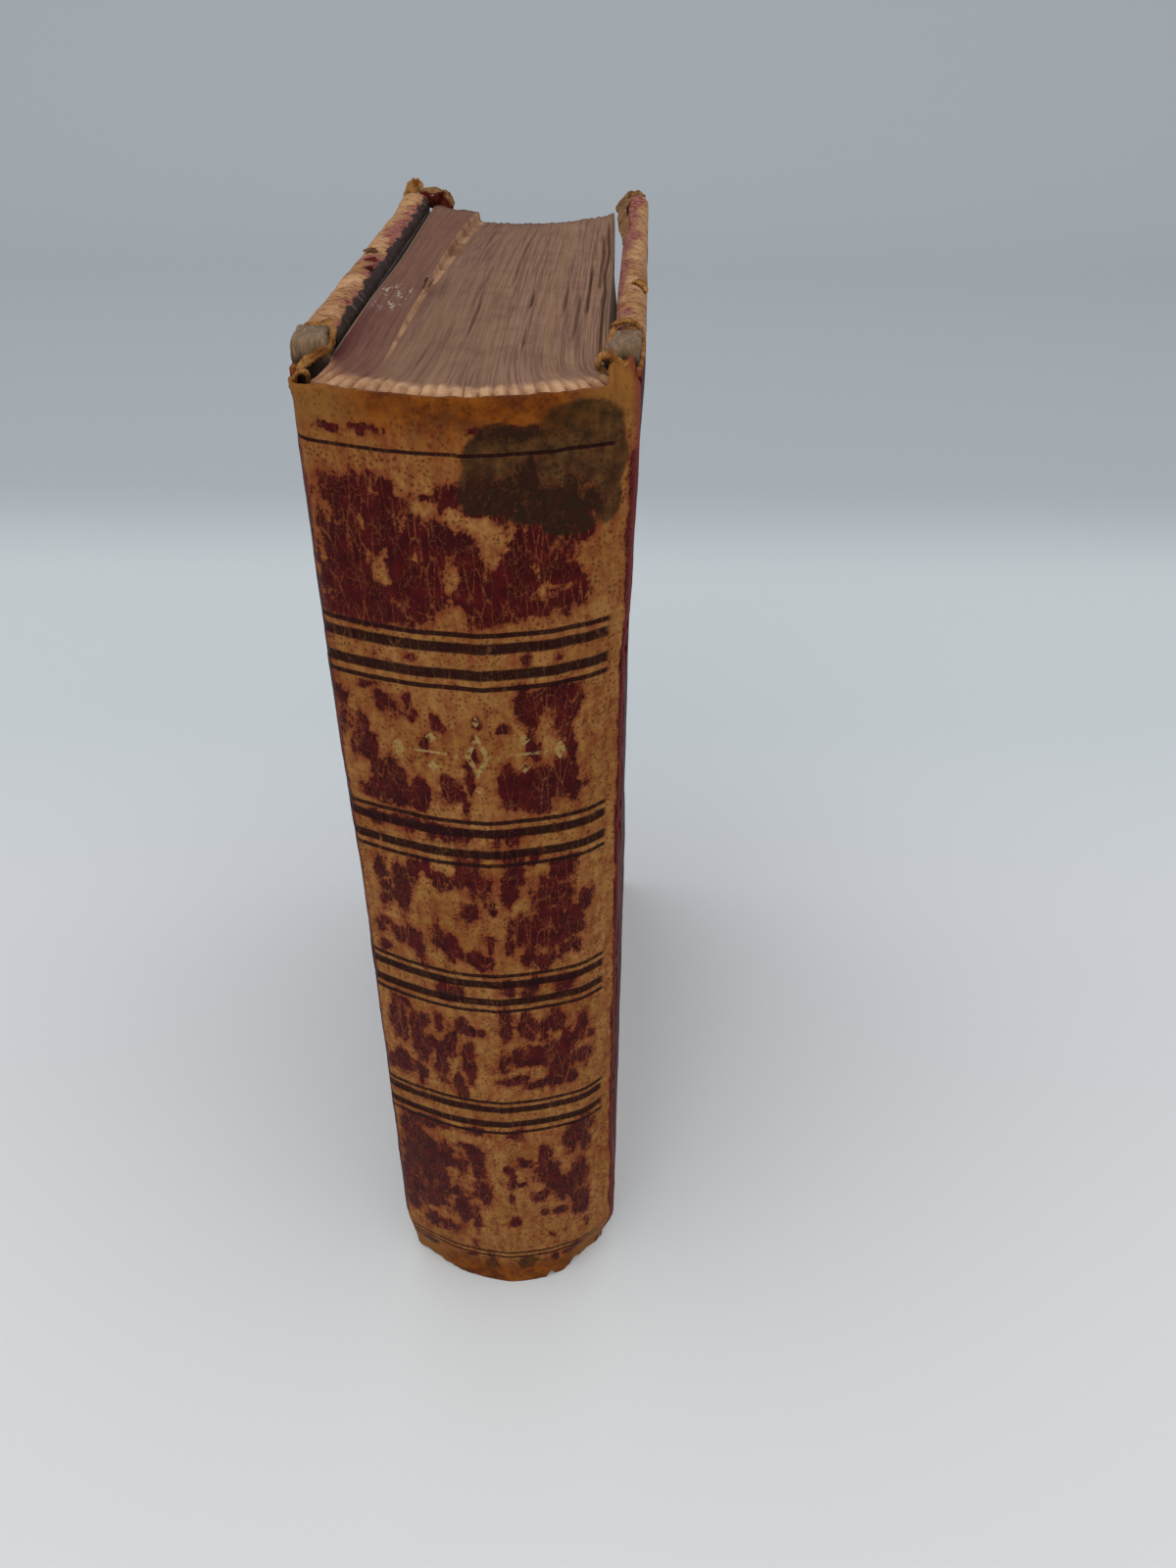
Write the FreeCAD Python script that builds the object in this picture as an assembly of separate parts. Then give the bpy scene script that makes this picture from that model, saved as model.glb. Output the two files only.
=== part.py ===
import FreeCAD, Part
import math
import os

# Small antique leather-bound book, standing on its tail with the spine towards -Y.
# Millimetres. The front cover is at +X, +Y runs from the spine to the fore edge, +Z is up.
# The pieces are drawn closed, with the hinge lines at y = 0 and the tail at z = 0. The covers
# then open to their rest angles, and the origin moves to the bottom centre of the whole book.

# Overall sizes
cover_height = 146.0
cover_depth = 96.5
spine_half_width = 17.25

# Rounded spine: two shallow arcs that meet at a crease, and a tight arc at each shoulder
crease_angle = math.radians(5.0)
shoulder_angle = math.radians(30.0)
shoulder_radius = 2.6
spine_lead = 0.2

# Leather, and what lies between it and the folds
leather = 0.6
head_lip = 0.3
joint_gap = 0.3
glue_line = 0.05
lining = 0.4
lining_gap = 1.5
lining_angle = math.radians(70.0)

# Pairs of lines tooled into the spine leather, the first and last this far from head and tail
head_pair_inset = 31.1
tail_pair_inset = 40.3
pairs = 4
tooled_width = 1.1
pair_spacing = 3.2
tooled_depth = 0.15

# Covers, from the outside in: leather, board, turn-ins and pastedown
board = 1.9
pared_leather = 0.3
pastedown = 0.3
board_start = 1.3
board_corner = 2.6
edge_round = 0.8
turn_in = 9.0
turn_in_corner = 1.5
pastedown_margin = 1.2

# Leather worn off the head of each board beside the spine
bare_length = 9.5
bare_depth = 2.2

# Text block
square = 2.5
fore_square = 2.6
fore_hollow = 8.0
cover_clearance = 0.3
flyleaf = 0.25
gatherings = 24
fold_depth = 0.2
shoulder_end_angle = math.radians(74.0)
shoulder_sweep = 0.35
joint_clearance = 0.3

# Gatherings that have worked loose beside the rear cover, fanned out and lifted at the fore edge
loose_gatherings = 5
loose_width = 7.0
loose_lift = 1.8

# Sewing: cords sunk into saw kerfs across the folds, and a kettle stitch over the folds near each end
cord_inset = 27.0
cords = 4
cord_radius = 0.8
kerf_clearance = 0.1
kettle_inset = 9.0
thread_radius = 0.2
section_flats = 6

# Covers at rest, in degrees open from parallel with the text block, about axes just outside the joints
front_splay = 1.8
rear_splay = 0.8
hinge_offset = 0.2

# Places that follow from the sizes
hinge_x = spine_half_width + hinge_offset
board_outer = spine_half_width - leather
board_inner = board_outer - board
cover_inner = board_inner - pared_leather - pastedown
block_half = cover_inner - cover_clearance - flyleaf
block_tail = square
block_head = cover_height - square
spine_head = block_head + head_lip
fore_y = cover_depth - fore_square
crest_depth = leather + lining + 2 * glue_line
valley_depth = crest_depth + fold_depth
beyond = 2 * cover_height

X_AXIS = FreeCAD.Vector(1, 0, 0)
Z_AXIS = FreeCAD.Vector(0, 0, 1)
ORIGIN = FreeCAD.Vector(0, 0, 0)


# Spine curve


def on_arc(centre, radius, angle):
    """Point of an arc where its tangent makes this angle with +X."""
    return centre + FreeCAD.Vector(math.sin(angle), -math.cos(angle), 0) * radius


def main_arc():
    """Radius and centre of the shallow arc of the front half of the spine."""
    turned = math.sin(shoulder_angle) - math.sin(crease_angle)
    radius = (spine_half_width - shoulder_radius * (1 - math.sin(shoulder_angle))) / turned
    meeting_y = -spine_lead - shoulder_radius * math.cos(shoulder_angle)
    centre_y = meeting_y + radius * math.cos(shoulder_angle)
    return radius, FreeCAD.Vector(-radius * math.sin(crease_angle), centre_y, 0)


main_radius, main_centre = main_arc()
shoulder_centre = FreeCAD.Vector(spine_half_width - shoulder_radius, -spine_lead, 0)


def crease_start(depth):
    """Tangent angle at which the shallow arc, this deep under the leather's face, meets x = 0."""
    return math.asin(-main_centre.x / (main_radius - depth))


def mirrored(point):
    return FreeCAD.Vector(-point.x, point.y, point.z)


def both_sides(kind, *points):
    """An arc or a line and its mirror image."""
    draw = Part.Arc if kind == "arc" else Part.LineSegment
    return [draw(*points).toShape(), draw(*[mirrored(p) for p in points]).toShape()]


def spine_curve(depth, end_angle):
    """Both halves of the spine's curve at a depth, and the point where the front half ends."""
    radius = main_radius - depth
    tight = shoulder_radius - depth
    start = crease_start(depth)
    meeting = on_arc(main_centre, radius, shoulder_angle)
    middle = on_arc(main_centre, radius, (start + shoulder_angle) / 2)
    shoulder = on_arc(shoulder_centre, tight, (shoulder_angle + end_angle) / 2)
    end = on_arc(shoulder_centre, tight, end_angle)
    edges = both_sides("arc", on_arc(main_centre, radius, start), middle, meeting)
    edges += both_sides("arc", meeting, shoulder, end)
    return edges, end


def curved_wall(outer_depth, inner_depth, end_angle, low, high):
    """A wall that follows the spine between two depths, from low to high."""
    outer, outer_end = spine_curve(outer_depth, end_angle)
    inner, inner_end = spine_curve(inner_depth, end_angle)
    edges = outer + inner + both_sides("line", outer_end, inner_end)
    face = Part.Face(Part.Wire(Part.__sortEdges__(edges)))
    return face.extrude(Z_AXIS * (high - low)).translated(Z_AXIS * low)


# Spine leather and lining


def tooled_line(height):
    """What a blind-tooled line at this height takes out of the leather's face."""
    half = tooled_width / 2
    return curved_wall(-leather, tooled_depth, math.pi / 2, height - half, height + half)


def spine_leather():
    skin = curved_wall(0, leather, math.pi / 2, 0, spine_head)
    for side in (-1, 1):
        edge = Part.makeBox(leather, spine_lead - joint_gap / 2, spine_head)
        edge.translate(FreeCAD.Vector(board_outer if side > 0 else -spine_half_width, -spine_lead, 0))
        skin = skin.fuse(edge)
    lines = []
    pitch = (cover_height - head_pair_inset - tail_pair_inset) / (pairs - 1)
    for number in range(pairs):
        middle = tail_pair_inset + number * pitch
        lines += [tooled_line(middle - pair_spacing / 2), tooled_line(middle + pair_spacing / 2)]
    return skin.cut(lines).removeSplitter()


def spine_lining():
    """Cloth glued over the folds, from one kettle stitch to the other."""
    outer = leather + glue_line
    inset = kettle_inset + thread_radius + lining_gap
    return curved_wall(outer, outer + lining, lining_angle, block_tail + inset, block_head - inset)


# Text block


def fold_length(depth):
    """Length of the curve at this depth from the crease to the last fold's outer side."""
    shallow = (main_radius - depth) * (shoulder_angle - crease_start(depth))
    return shallow + (shoulder_radius - depth) * (shoulder_end_angle - shoulder_angle)


def fold_point(share, depth):
    """Point of the curve at a depth, from -1 at the rear shoulder to 1 at the front shoulder."""
    along = abs(share) * fold_length(depth)
    start = crease_start(depth)
    shallow = (main_radius - depth) * (shoulder_angle - start)
    if along <= shallow:
        point = on_arc(main_centre, main_radius - depth, start + along / (main_radius - depth))
    else:
        turned = (along - shallow) / (shoulder_radius - depth)
        point = on_arc(shoulder_centre, shoulder_radius - depth, shoulder_angle + turned)
    return point if share >= 0 else mirrored(point)


def valley(number):
    """The dip before this gathering, counted from the rear cover's side."""
    return fold_point(2 * number / gatherings - 1, valley_depth)


def crest(number):
    """The fold of this gathering."""
    return fold_point((2 * number + 1) / gatherings - 1, crest_depth)


def block_plan():
    """Plan of the leaves: folds, shoulders, flat sides and the hollow fore edge."""
    folds = [Part.Arc(valley(n), crest(n), valley(n + 1)).toShape() for n in range(gatherings)]
    tip = valley(gatherings)
    side = FreeCAD.Vector(block_half, board_start - joint_clearance, 0)
    inside = FreeCAD.Vector(side.x, tip.y, 0)
    flare = (tip + side) * ((1 - shoulder_sweep) / 2) + inside * shoulder_sweep
    corner = FreeCAD.Vector(block_half, fore_y, 0)
    hollow = Part.Arc(mirrored(corner), FreeCAD.Vector(0, fore_y - fore_hollow, 0), corner).toShape()
    edges = folds + both_sides("arc", tip, flare, side) + both_sides("line", side, corner) + [hollow]
    return Part.Face(Part.Wire(Part.__sortEdges__(edges)))


def trimmed(face, lift):
    """The leaves of this plan between tail and head, lifted by this much at the fore edge."""
    near = FreeCAD.Vector(-beyond / 2, -beyond, block_tail)
    hinge = FreeCAD.Vector(-beyond / 2, 0, block_tail)
    far = FreeCAD.Vector(-beyond / 2, fore_y, block_tail + lift)
    rise = Z_AXIS * (block_head - block_tail)
    side = Part.Face(Part.makePolygon([near, hinge, far, far + rise, hinge + rise, near + rise, near]))
    return face.extrude(Z_AXIS * beyond).common(side.extrude(X_AXIS * beyond))


def loose_side():
    """Plan of everything on the rear cover's side of the loose gatherings' last leaf."""
    gap = valley(loose_gatherings)
    front = FreeCAD.Vector(gap.x, -beyond, 0)
    far = FreeCAD.Vector(loose_width - block_half, fore_y, 0)
    outside = FreeCAD.Vector(-beyond, 0, 0)
    corners = [front, gap, far, far + outside, front + outside, front]
    return Part.Face(Part.makePolygon(corners))


def cord_heights():
    pitch = (block_head - block_tail - 2 * cord_inset) / (cords - 1)
    return [block_tail + cord_inset + n * pitch for n in range(cords)]


def kerf(height):
    """Saw cut across the folds with room for one cord."""
    room = cord_radius + kerf_clearance
    outer = Part.makeCylinder(main_radius, 2 * room, main_centre)
    inner = Part.makeCylinder(main_radius - crest_depth - 2 * room, 2 * room, main_centre)
    front = Part.makeBox(main_radius, 2 * main_radius, 2 * room)
    front.translate(FreeCAD.Vector(0, main_centre.y - 2 * main_radius, 0))
    half = outer.cut(inner).common(front)
    return half.fuse(half.mirror(ORIGIN, X_AXIS)).translated(Z_AXIS * (height - room))


def across_folds(height, radius, depth):
    """A cord or thread across the folds, with its middle at this depth under the leather's face."""
    middle = on_arc(main_centre, main_radius - depth, 0)
    turns = [2 * math.pi * n / section_flats for n in range(section_flats + 1)]
    corners = [middle + FreeCAD.Vector(0, math.cos(t), math.sin(t)) * radius for t in turns]
    bent = Part.Face(Part.makePolygon(corners)).revolve(main_centre, Z_AXIS, math.degrees(shoulder_angle))
    front = Part.makeBox(beyond, 2 * beyond, beyond, FreeCAD.Vector(0, -beyond, -beyond / 2))
    half = bent.common(front)
    whole = half.fuse(half.mirror(ORIGIN, X_AXIS)).removeSplitter()
    return whole.translated(Z_AXIS * height)


def sewing():
    """Each cord and kettle stitch, by name."""
    cord_depth = crest_depth + kerf_clearance + cord_radius
    pieces = {}
    for number, height in enumerate(cord_heights(), 1):
        pieces[f"sewing_cord_{number}"] = across_folds(height, cord_radius, cord_depth)
    stitch_depth = leather + glue_line + thread_radius
    ends = {"tail": block_tail + kettle_inset, "head": block_head - kettle_inset}
    for end, height in ends.items():
        pieces[f"kettle_stitch_{end}"] = across_folds(height, thread_radius, stitch_depth)
    return pieces


def text_block():
    plan = block_plan()
    loose = loose_side()
    block = trimmed(plan.cut(loose), 0).fuse(trimmed(plan.common(loose), loose_lift))
    return block.cut([kerf(height) for height in cord_heights()]).removeSplitter()


def flyleaf_sheet():
    start = board_start + joint_clearance
    sheet = Part.makeBox(flyleaf, fore_y - start, block_head - block_tail)
    return sheet.translated(FreeCAD.Vector(block_half, start, block_tail))


# Covers, drawn closed on the front cover's side


def rounded_corner(y, z, radius, start):
    """Quarter arc about a point of the plane x = 0, from this angle on."""
    turns = [math.radians(start + step) for step in (0, 45, 90)]
    points = [FreeCAD.Vector(0, y + radius * math.cos(t), z + radius * math.sin(t)) for t in turns]
    return Part.Arc(*points).toShape(), points[0], points[-1]


def plate(low_x, high_x, start_y, margin, radius):
    """Plate with rounded corners at the fore edge, this far inside the cover's outline."""
    low = margin
    high = cover_height - margin
    far = cover_depth - margin
    tail_arc, tail_in, tail_out = rounded_corner(far - radius, low + radius, radius, -90)
    head_arc, head_in, head_out = rounded_corner(far - radius, high - radius, radius, 0)
    head_start = FreeCAD.Vector(0, start_y, high)
    tail_start = FreeCAD.Vector(0, start_y, low)
    lines = [(tail_start, tail_in), (tail_out, head_in), (head_out, head_start), (head_start, tail_start)]
    edges = [tail_arc, head_arc] + [Part.LineSegment(*ends).toShape() for ends in lines]
    face = Part.Face(Part.Wire(Part.__sortEdges__(edges)))
    return face.extrude(X_AXIS * (high_x - low_x)).translated(X_AXIS * low_x)


def board_plate():
    return plate(board_inner, board_outer, board_start, leather, board_corner)


def turn_in_window(depth):
    """The board's inner face inside the turn-ins, as a plate of this depth."""
    return plate(board_inner - depth, board_inner, board_start, turn_in, turn_in_corner)


def worn_head():
    """Round bite that bares the board's head beside the spine."""
    half = bare_length / 2
    radius = (half ** 2 + bare_depth ** 2) / (2 * bare_depth)
    centre = FreeCAD.Vector(0, board_start + half, cover_height - bare_depth + radius)
    return Part.makeCylinder(radius, beyond, centre, X_AXIS)


def cover_leather():
    """Leather over the board's outer face and edges, turned in on its inner face."""
    start = joint_gap / 2
    skin = plate(board_inner - pared_leather, spine_half_width, start, 0, board_corner + leather)
    outer = [e for e in skin.Edges if e.BoundBox.XMin > board_outer and e.BoundBox.YMax > board_start]
    skin = skin.makeFillet(edge_round, outer)
    joint = Part.makeBox(board_outer, board_start, beyond)
    joint.translate(FreeCAD.Vector(0, 0, -beyond / 4))
    window = turn_in_window(2 * pared_leather)
    return skin.cut([joint, board_plate(), window, worn_head()])


def pastedown_sheet():
    """Paper over the board's inner face, filling the turn-ins' window and covering their edges."""
    margin = leather + pastedown_margin
    sheet = plate(cover_inner, cover_inner + pastedown, board_start, margin, board_corner - pastedown_margin)
    return sheet.fuse(turn_in_window(pared_leather)).removeSplitter()


def front_side(shape):
    """A cover piece at its rest angle on the front side."""
    return shape.rotated(FreeCAD.Vector(hinge_x, 0, 0), Z_AXIS, -front_splay)


def rear_side(shape):
    """The same piece, mirrored, at its rest angle on the rear side."""
    return shape.mirror(ORIGIN, X_AXIS).rotated(FreeCAD.Vector(-hinge_x, 0, 0), Z_AXIS, rear_splay)


def build():
    parts = {
        "text_block": text_block(),
        "spine_leather": spine_leather(),
        "spine_lining": spine_lining(),
        "front_flyleaf": flyleaf_sheet(),
        "rear_flyleaf": flyleaf_sheet().mirror(ORIGIN, X_AXIS),
    }
    parts.update(sewing())
    pieces = {"board": board_plate(), "cover_leather": cover_leather(), "pastedown": pastedown_sheet()}
    for name, shape in pieces.items():
        parts[f"front_{name}"] = front_side(shape)
        parts[f"rear_{name}"] = rear_side(shape)
    return parts


parts = build()
box = Part.makeCompound(list(parts.values())).optimalBoundingBox(False)
shift = FreeCAD.Vector(-box.Center.x, -box.Center.y, -box.ZMin)
print("hinge axes at", shift + X_AXIS * hinge_x, shift - X_AXIS * hinge_x)
os.makedirs("parts", exist_ok=True)
for name, shape in parts.items():
    shape = shape.translated(shift)
    print(name, shape.isValid(), len(shape.Solids), round(shape.Volume, 1))
    shape.exportStep(f"parts/{name}.step")
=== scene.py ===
import math

import bmesh
import bpy
import numpy
from mathutils import Matrix, Vector, noise


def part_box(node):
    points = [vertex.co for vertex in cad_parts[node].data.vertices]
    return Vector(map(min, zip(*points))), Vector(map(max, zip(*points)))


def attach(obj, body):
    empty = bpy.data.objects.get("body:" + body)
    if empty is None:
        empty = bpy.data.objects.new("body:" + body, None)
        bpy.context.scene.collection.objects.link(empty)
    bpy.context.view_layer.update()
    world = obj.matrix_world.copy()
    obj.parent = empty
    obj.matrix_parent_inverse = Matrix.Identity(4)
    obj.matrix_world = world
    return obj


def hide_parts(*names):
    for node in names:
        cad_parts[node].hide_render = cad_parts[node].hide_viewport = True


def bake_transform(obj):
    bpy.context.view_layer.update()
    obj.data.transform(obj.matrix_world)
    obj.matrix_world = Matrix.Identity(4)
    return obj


# Small antique leather-bound book, standing on its tail. Sizes are in millimetres in the hinge
# frame: hinge lines at y = 0, tail at z = 0, front cover at +X. placed() takes them to the frame.

MM = 0.001
END = {1: "front", -1: "rear"}
COVER_HEIGHT = 146.0
COVER_DEPTH = 96.5

# Spine: two shallow arcs that meet at a crease, and a tight arc at each shoulder
HALF_WIDTH = 17.25
CREASE_ANGLE = math.radians(5.0)
SHOULDER_ANGLE = math.radians(30.0)
SHOULDER_RADIUS = 2.6
SPINE_LEAD = 0.2
SPINE_HEAD = 143.4

# Leather and the lining under it; JOINT_FOLD is the height where the leather folds over at a joint
SPINE_TUCK = 0.45
JOINT_FOLD = 142.8
LEATHER = 0.55
LINING = 0.25
LINING_DEPTH = 0.9
LINING_HALF = 16.0

# Pairs of lines tooled into the spine leather
PAIR_HEIGHTS = (40.3, 65.17, 90.03, 114.9)
PAIR_SPACING = 3.2
TOOLED_WIDTH = 1.1
TOOLED_DEPTH = 0.15

# Covers: swell of the head edge (outward, inward) and crush of the tail corner (across, away)
EDGE_RADIUS = 1.4
CORNER_RADIUS = 3.2
TURN_IN = 9.0
COVER_START = -0.6
COVER_INNER = 13.9
HEAD_SWELL = {1: (0.35, 0.35), -1: (1.5, 0.2)}
TAIL_CRUSH = {1: (2.2, 1.6), -1: (0.9, 1.2)}

# Boards; the neck is the inner and outer face below the swollen bare end
BOARD_START = 1.3
BOARD_INNER = 14.75
BOARD = 1.85
LEAST_BOARD = 0.35
BOARD_MARGIN = 0.7
BOARD_NECK = (14.8, 16.6)
BARE_FOOT = 138.5

# Leaves, with the gatherings that have worked loose beside the rear cover
BLOCK_HALF = 13.6
BLOCK_TAIL = 2.5
BLOCK_HEAD = 143.5
FORE_Y = 93.9
FORE_HOLLOW = 8.0
GATHERINGS = 24
FOLD_DEPTH = 1.1
FLYLEAF = 0.2
FLYLEAF_START = 1.5
LOOSE_SHARE = -0.667
LOOSE_WIDTH = 7.0
LOOSE_LIFT = 1.3

# Covers at rest, in degrees open, about axes just outside the joints
HINGE_OFFSET = 0.2
FRONT_SPLAY = 1.8
REAR_SPLAY = 0.8

# Columns and rows of the sheets' grids
SPINE_GRID = (108, 330)
LINING_GRID = (48, 72)
COVER_GRID = (150, 230)
LEAVES_GRID = (260, 64)
FLYLEAF_GRID = (30, 40)

# Places that follow from the sizes
HINGE_X = HALF_WIDTH + HINGE_OFFSET
MAIN_RADIUS = (HALF_WIDTH - SHOULDER_RADIUS * (1 - math.sin(SHOULDER_ANGLE))) / (
    math.sin(SHOULDER_ANGLE) - math.sin(CREASE_ANGLE))
MEETING_Y = -SPINE_LEAD - SHOULDER_RADIUS * math.cos(SHOULDER_ANGLE)
MAIN_CENTRE = (-MAIN_RADIUS * math.sin(CREASE_ANGLE),
               MEETING_Y + MAIN_RADIUS * math.cos(SHOULDER_ANGLE))
SHOULDER_CENTRE = (HALF_WIDTH - SHOULDER_RADIUS, -SPINE_LEAD)
SHALLOW_REACH = MAIN_RADIUS * (SHOULDER_ANGLE - CREASE_ANGLE)
HALF_TURN = math.pi * EDGE_RADIUS
SHEET_PAST = HALF_TURN + TURN_IN - EDGE_RADIUS

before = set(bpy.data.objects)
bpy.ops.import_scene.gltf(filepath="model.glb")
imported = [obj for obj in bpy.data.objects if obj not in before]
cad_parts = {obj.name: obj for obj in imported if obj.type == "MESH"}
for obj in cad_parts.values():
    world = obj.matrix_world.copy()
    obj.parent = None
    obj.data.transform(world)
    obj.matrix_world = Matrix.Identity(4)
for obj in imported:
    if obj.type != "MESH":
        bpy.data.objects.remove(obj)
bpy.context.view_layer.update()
spine_low, spine_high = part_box("spine_leather")
SHIFT = Vector((
    (spine_low.x + spine_high.x) / 2,
    spine_low.y - (MAIN_CENTRE[1] - MAIN_RADIUS * math.cos(CREASE_ANGLE)) * MM,
    0.0,
))


# Shapes of the book


def placed(x, y, z):
    return Vector((x, y, z)) * MM + SHIFT


def clamp(value, low=0.0, high=1.0):
    return max(low, min(high, value))


def ease(low, high, value):
    """Smooth step from 0 at low to 1 at high."""
    t = clamp((value - low) / (high - low))
    return t * t * (3 - 2 * t)


def ripple(x, y, z=0.0, size=1.0):
    """Smooth noise of about -1 to 1 whose lumps are this many millimetres across."""
    return noise.noise(Vector((x, y, z)) / size) * 1.6


def rough(x, y, z=0.0, size=1.0):
    """The same with finer lumps on top."""
    return noise.fractal(Vector((x, y, z)) / size, 0.9, 2.1, 4)


def spine_place(along, depth=0.0):
    """Plan point and outward direction of the spine curve at a distance along its outer face."""
    way = abs(along)
    if way <= SHALLOW_REACH:
        centre, radius = MAIN_CENTRE, MAIN_RADIUS
        angle = CREASE_ANGLE + way / MAIN_RADIUS
    else:
        centre, radius = SHOULDER_CENTRE, SHOULDER_RADIUS
        angle = SHOULDER_ANGLE + (way - SHALLOW_REACH) / SHOULDER_RADIUS
    side = 1 if along >= 0 else -1
    out = Vector((side * math.sin(angle), -math.cos(angle)))
    x = side * (centre[0] + (radius - depth) * math.sin(angle))
    return Vector((x, centre[1] - (radius - depth) * math.cos(angle))), out


def spine_reach(end_y):
    """Distance along the spine's face from the crease to where the shoulder gets to end_y."""
    angle = math.acos((SHOULDER_CENTRE[1] - end_y) / SHOULDER_RADIUS)
    return SHALLOW_REACH + SHOULDER_RADIUS * (angle - SHOULDER_ANGLE)


def opened(side, x, y):
    """Closed cover point of the front side, turned to its rest angle and put on its own side."""
    turn = math.radians(-FRONT_SPLAY if side > 0 else -REAR_SPLAY)
    away = x - HINGE_X
    turned_x = HINGE_X + away * math.cos(turn) - y * math.sin(turn)
    turned_y = away * math.sin(turn) + y * math.cos(turn)
    weight = ease(-0.6, 0.6, y)
    return side * (x + (turned_x - x) * weight), y + (turned_y - y) * weight


def sheet(columns, rows, place):
    """Fine grid whose points go where place(u, v) says, u and v from 0 to 1."""
    mesh = bmesh.new()
    bmesh.ops.create_grid(mesh, x_segments=columns, y_segments=rows, size=0.5)
    spots = [(vertex, vertex.co.x + 0.5, vertex.co.y + 0.5) for vertex in mesh.verts]
    uv = mesh.loops.layers.uv.new("UVMap")
    flat = {}
    for vertex, u, v in spots:
        point, sheet_place = place(u, v)
        vertex.co = point
        flat[vertex.index] = sheet_place
    for face in mesh.faces:
        for loop in face.loops:
            loop[uv].uv = flat[loop.vert.index]
    return mesh


def along_path(stations, u):
    """Row of numbers smoothly between the stations, u from 0 to 1."""
    way = u * (len(stations) - 1)
    index = min(int(way), len(stations) - 2)
    t = way - index
    rows = [stations[max(0, min(len(stations) - 1, index + step))] for step in (-1, 0, 1, 2)]
    return [
        b + 0.5 * t * (c - a + t * (2 * a - 5 * b + 4 * c - d + t * (3 * b - a - 3 * c + d)))
        for a, b, c, d in zip(*rows)
    ]


def sheet_places(mesh):
    """Where every point is on the unrolled sheet, in millimetres."""
    uv = mesh.loops.layers.uv.active
    places = [vertex.link_loops[0][uv].uv / MM for vertex in mesh.verts]
    return numpy.array([place.x for place in places]), numpy.array([place.y for place in places])


def add_mask(mesh, name, values):
    """Number at every point of a mesh."""
    layer = mesh.verts.layers.float.new(name)
    for vertex, value in zip(mesh.verts, values):
        vertex[layer] = value


def added(mesh, name, material):
    """Smooth object made of a bmesh, with one material."""
    data = bpy.data.meshes.new(name)
    for face in mesh.faces:
        face.smooth = True
    mesh.to_mesh(data)
    mesh.free()
    data.materials.append(material)
    piece = bpy.data.objects.new(name, data)
    bpy.context.scene.collection.objects.link(piece)
    return piece


def finished(mesh, name, material, body):
    """Piece of the book made of a bmesh; without a body, it is left unattached."""
    piece = added(mesh, name, material)
    if body:
        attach(piece, body)
    return piece


def thicken(piece, thickness, offset=-1.0):
    wall = piece.modifiers.new("wall", "SOLIDIFY")
    wall.thickness = thickness * MM
    wall.offset = offset


# Patches of the spine leather: place along the curve, height, half width, half height and strength.
# The dark finish is left on the panels' patches and worn off the bare spots.

FIRST_PANEL = (
    (-12.3, 132.5, 4.1, 2.6), (-14, 128.5, 3.2, 2.8), (-14.4, 123.7, 3.6, 3.5), (-9.2, 132.3, 2.9, 2.6),
    (-9.2, 128.8, 2.9, 2.6), (-4.9, 128.8, 3.5, 2.8), (-4.7, 124.7, 3.1, 4), (-8.1, 121.6, 3.8, 2.9),
    (-13.1, 119.9, 4.5, 1.8), (-8.3, 124.8, 1.6, 4), (-2.2, 132.9, 1.4, 1.5, 0.8),
    (-4.1, 132.8, 1.2, 0.9, 0.6), (-1.1, 127.6, 2.1, 2.8, 0.9), (-0.3, 123.8, 1.9, 4.1, 0.9),
    (-14.4, 139.6, 1.5, 0.7, 0.9), (-10.7, 139.5, 2.1, 0.4, 0.5), (1.2, 139.8, 0.9, 0.4, 0.8),
    (5.2, 139.7, 2.1, 0.7, 0.8), (2.1, 133.2, 3.1, 2.4, 0.95), (6.2, 135.1, 1.1, 1.9, 0.8),
    (9, 131.5, 4.5, 2.7), (12, 129.1, 1.6, 1.5, 0.9), (6.5, 127.2, 3.8, 2.8), (4.5, 124, 2.8, 3.8),
    (8.8, 128, 2.6, 2.1, 0.9), (9.5, 124.3, 2.2, 2.1, 0.8), (10.8, 122.2, 1.5, 2.1, 0.7),
    (2, 121.8, 4, 2.7, 0.9), (6.4, 121.2, 2.7, 1.4, 0.7), (-0.7, 134, 1, 1.2, 0.7),
    (-0.1, 132.1, 1.4, 0.7, 0.6),
)
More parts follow.
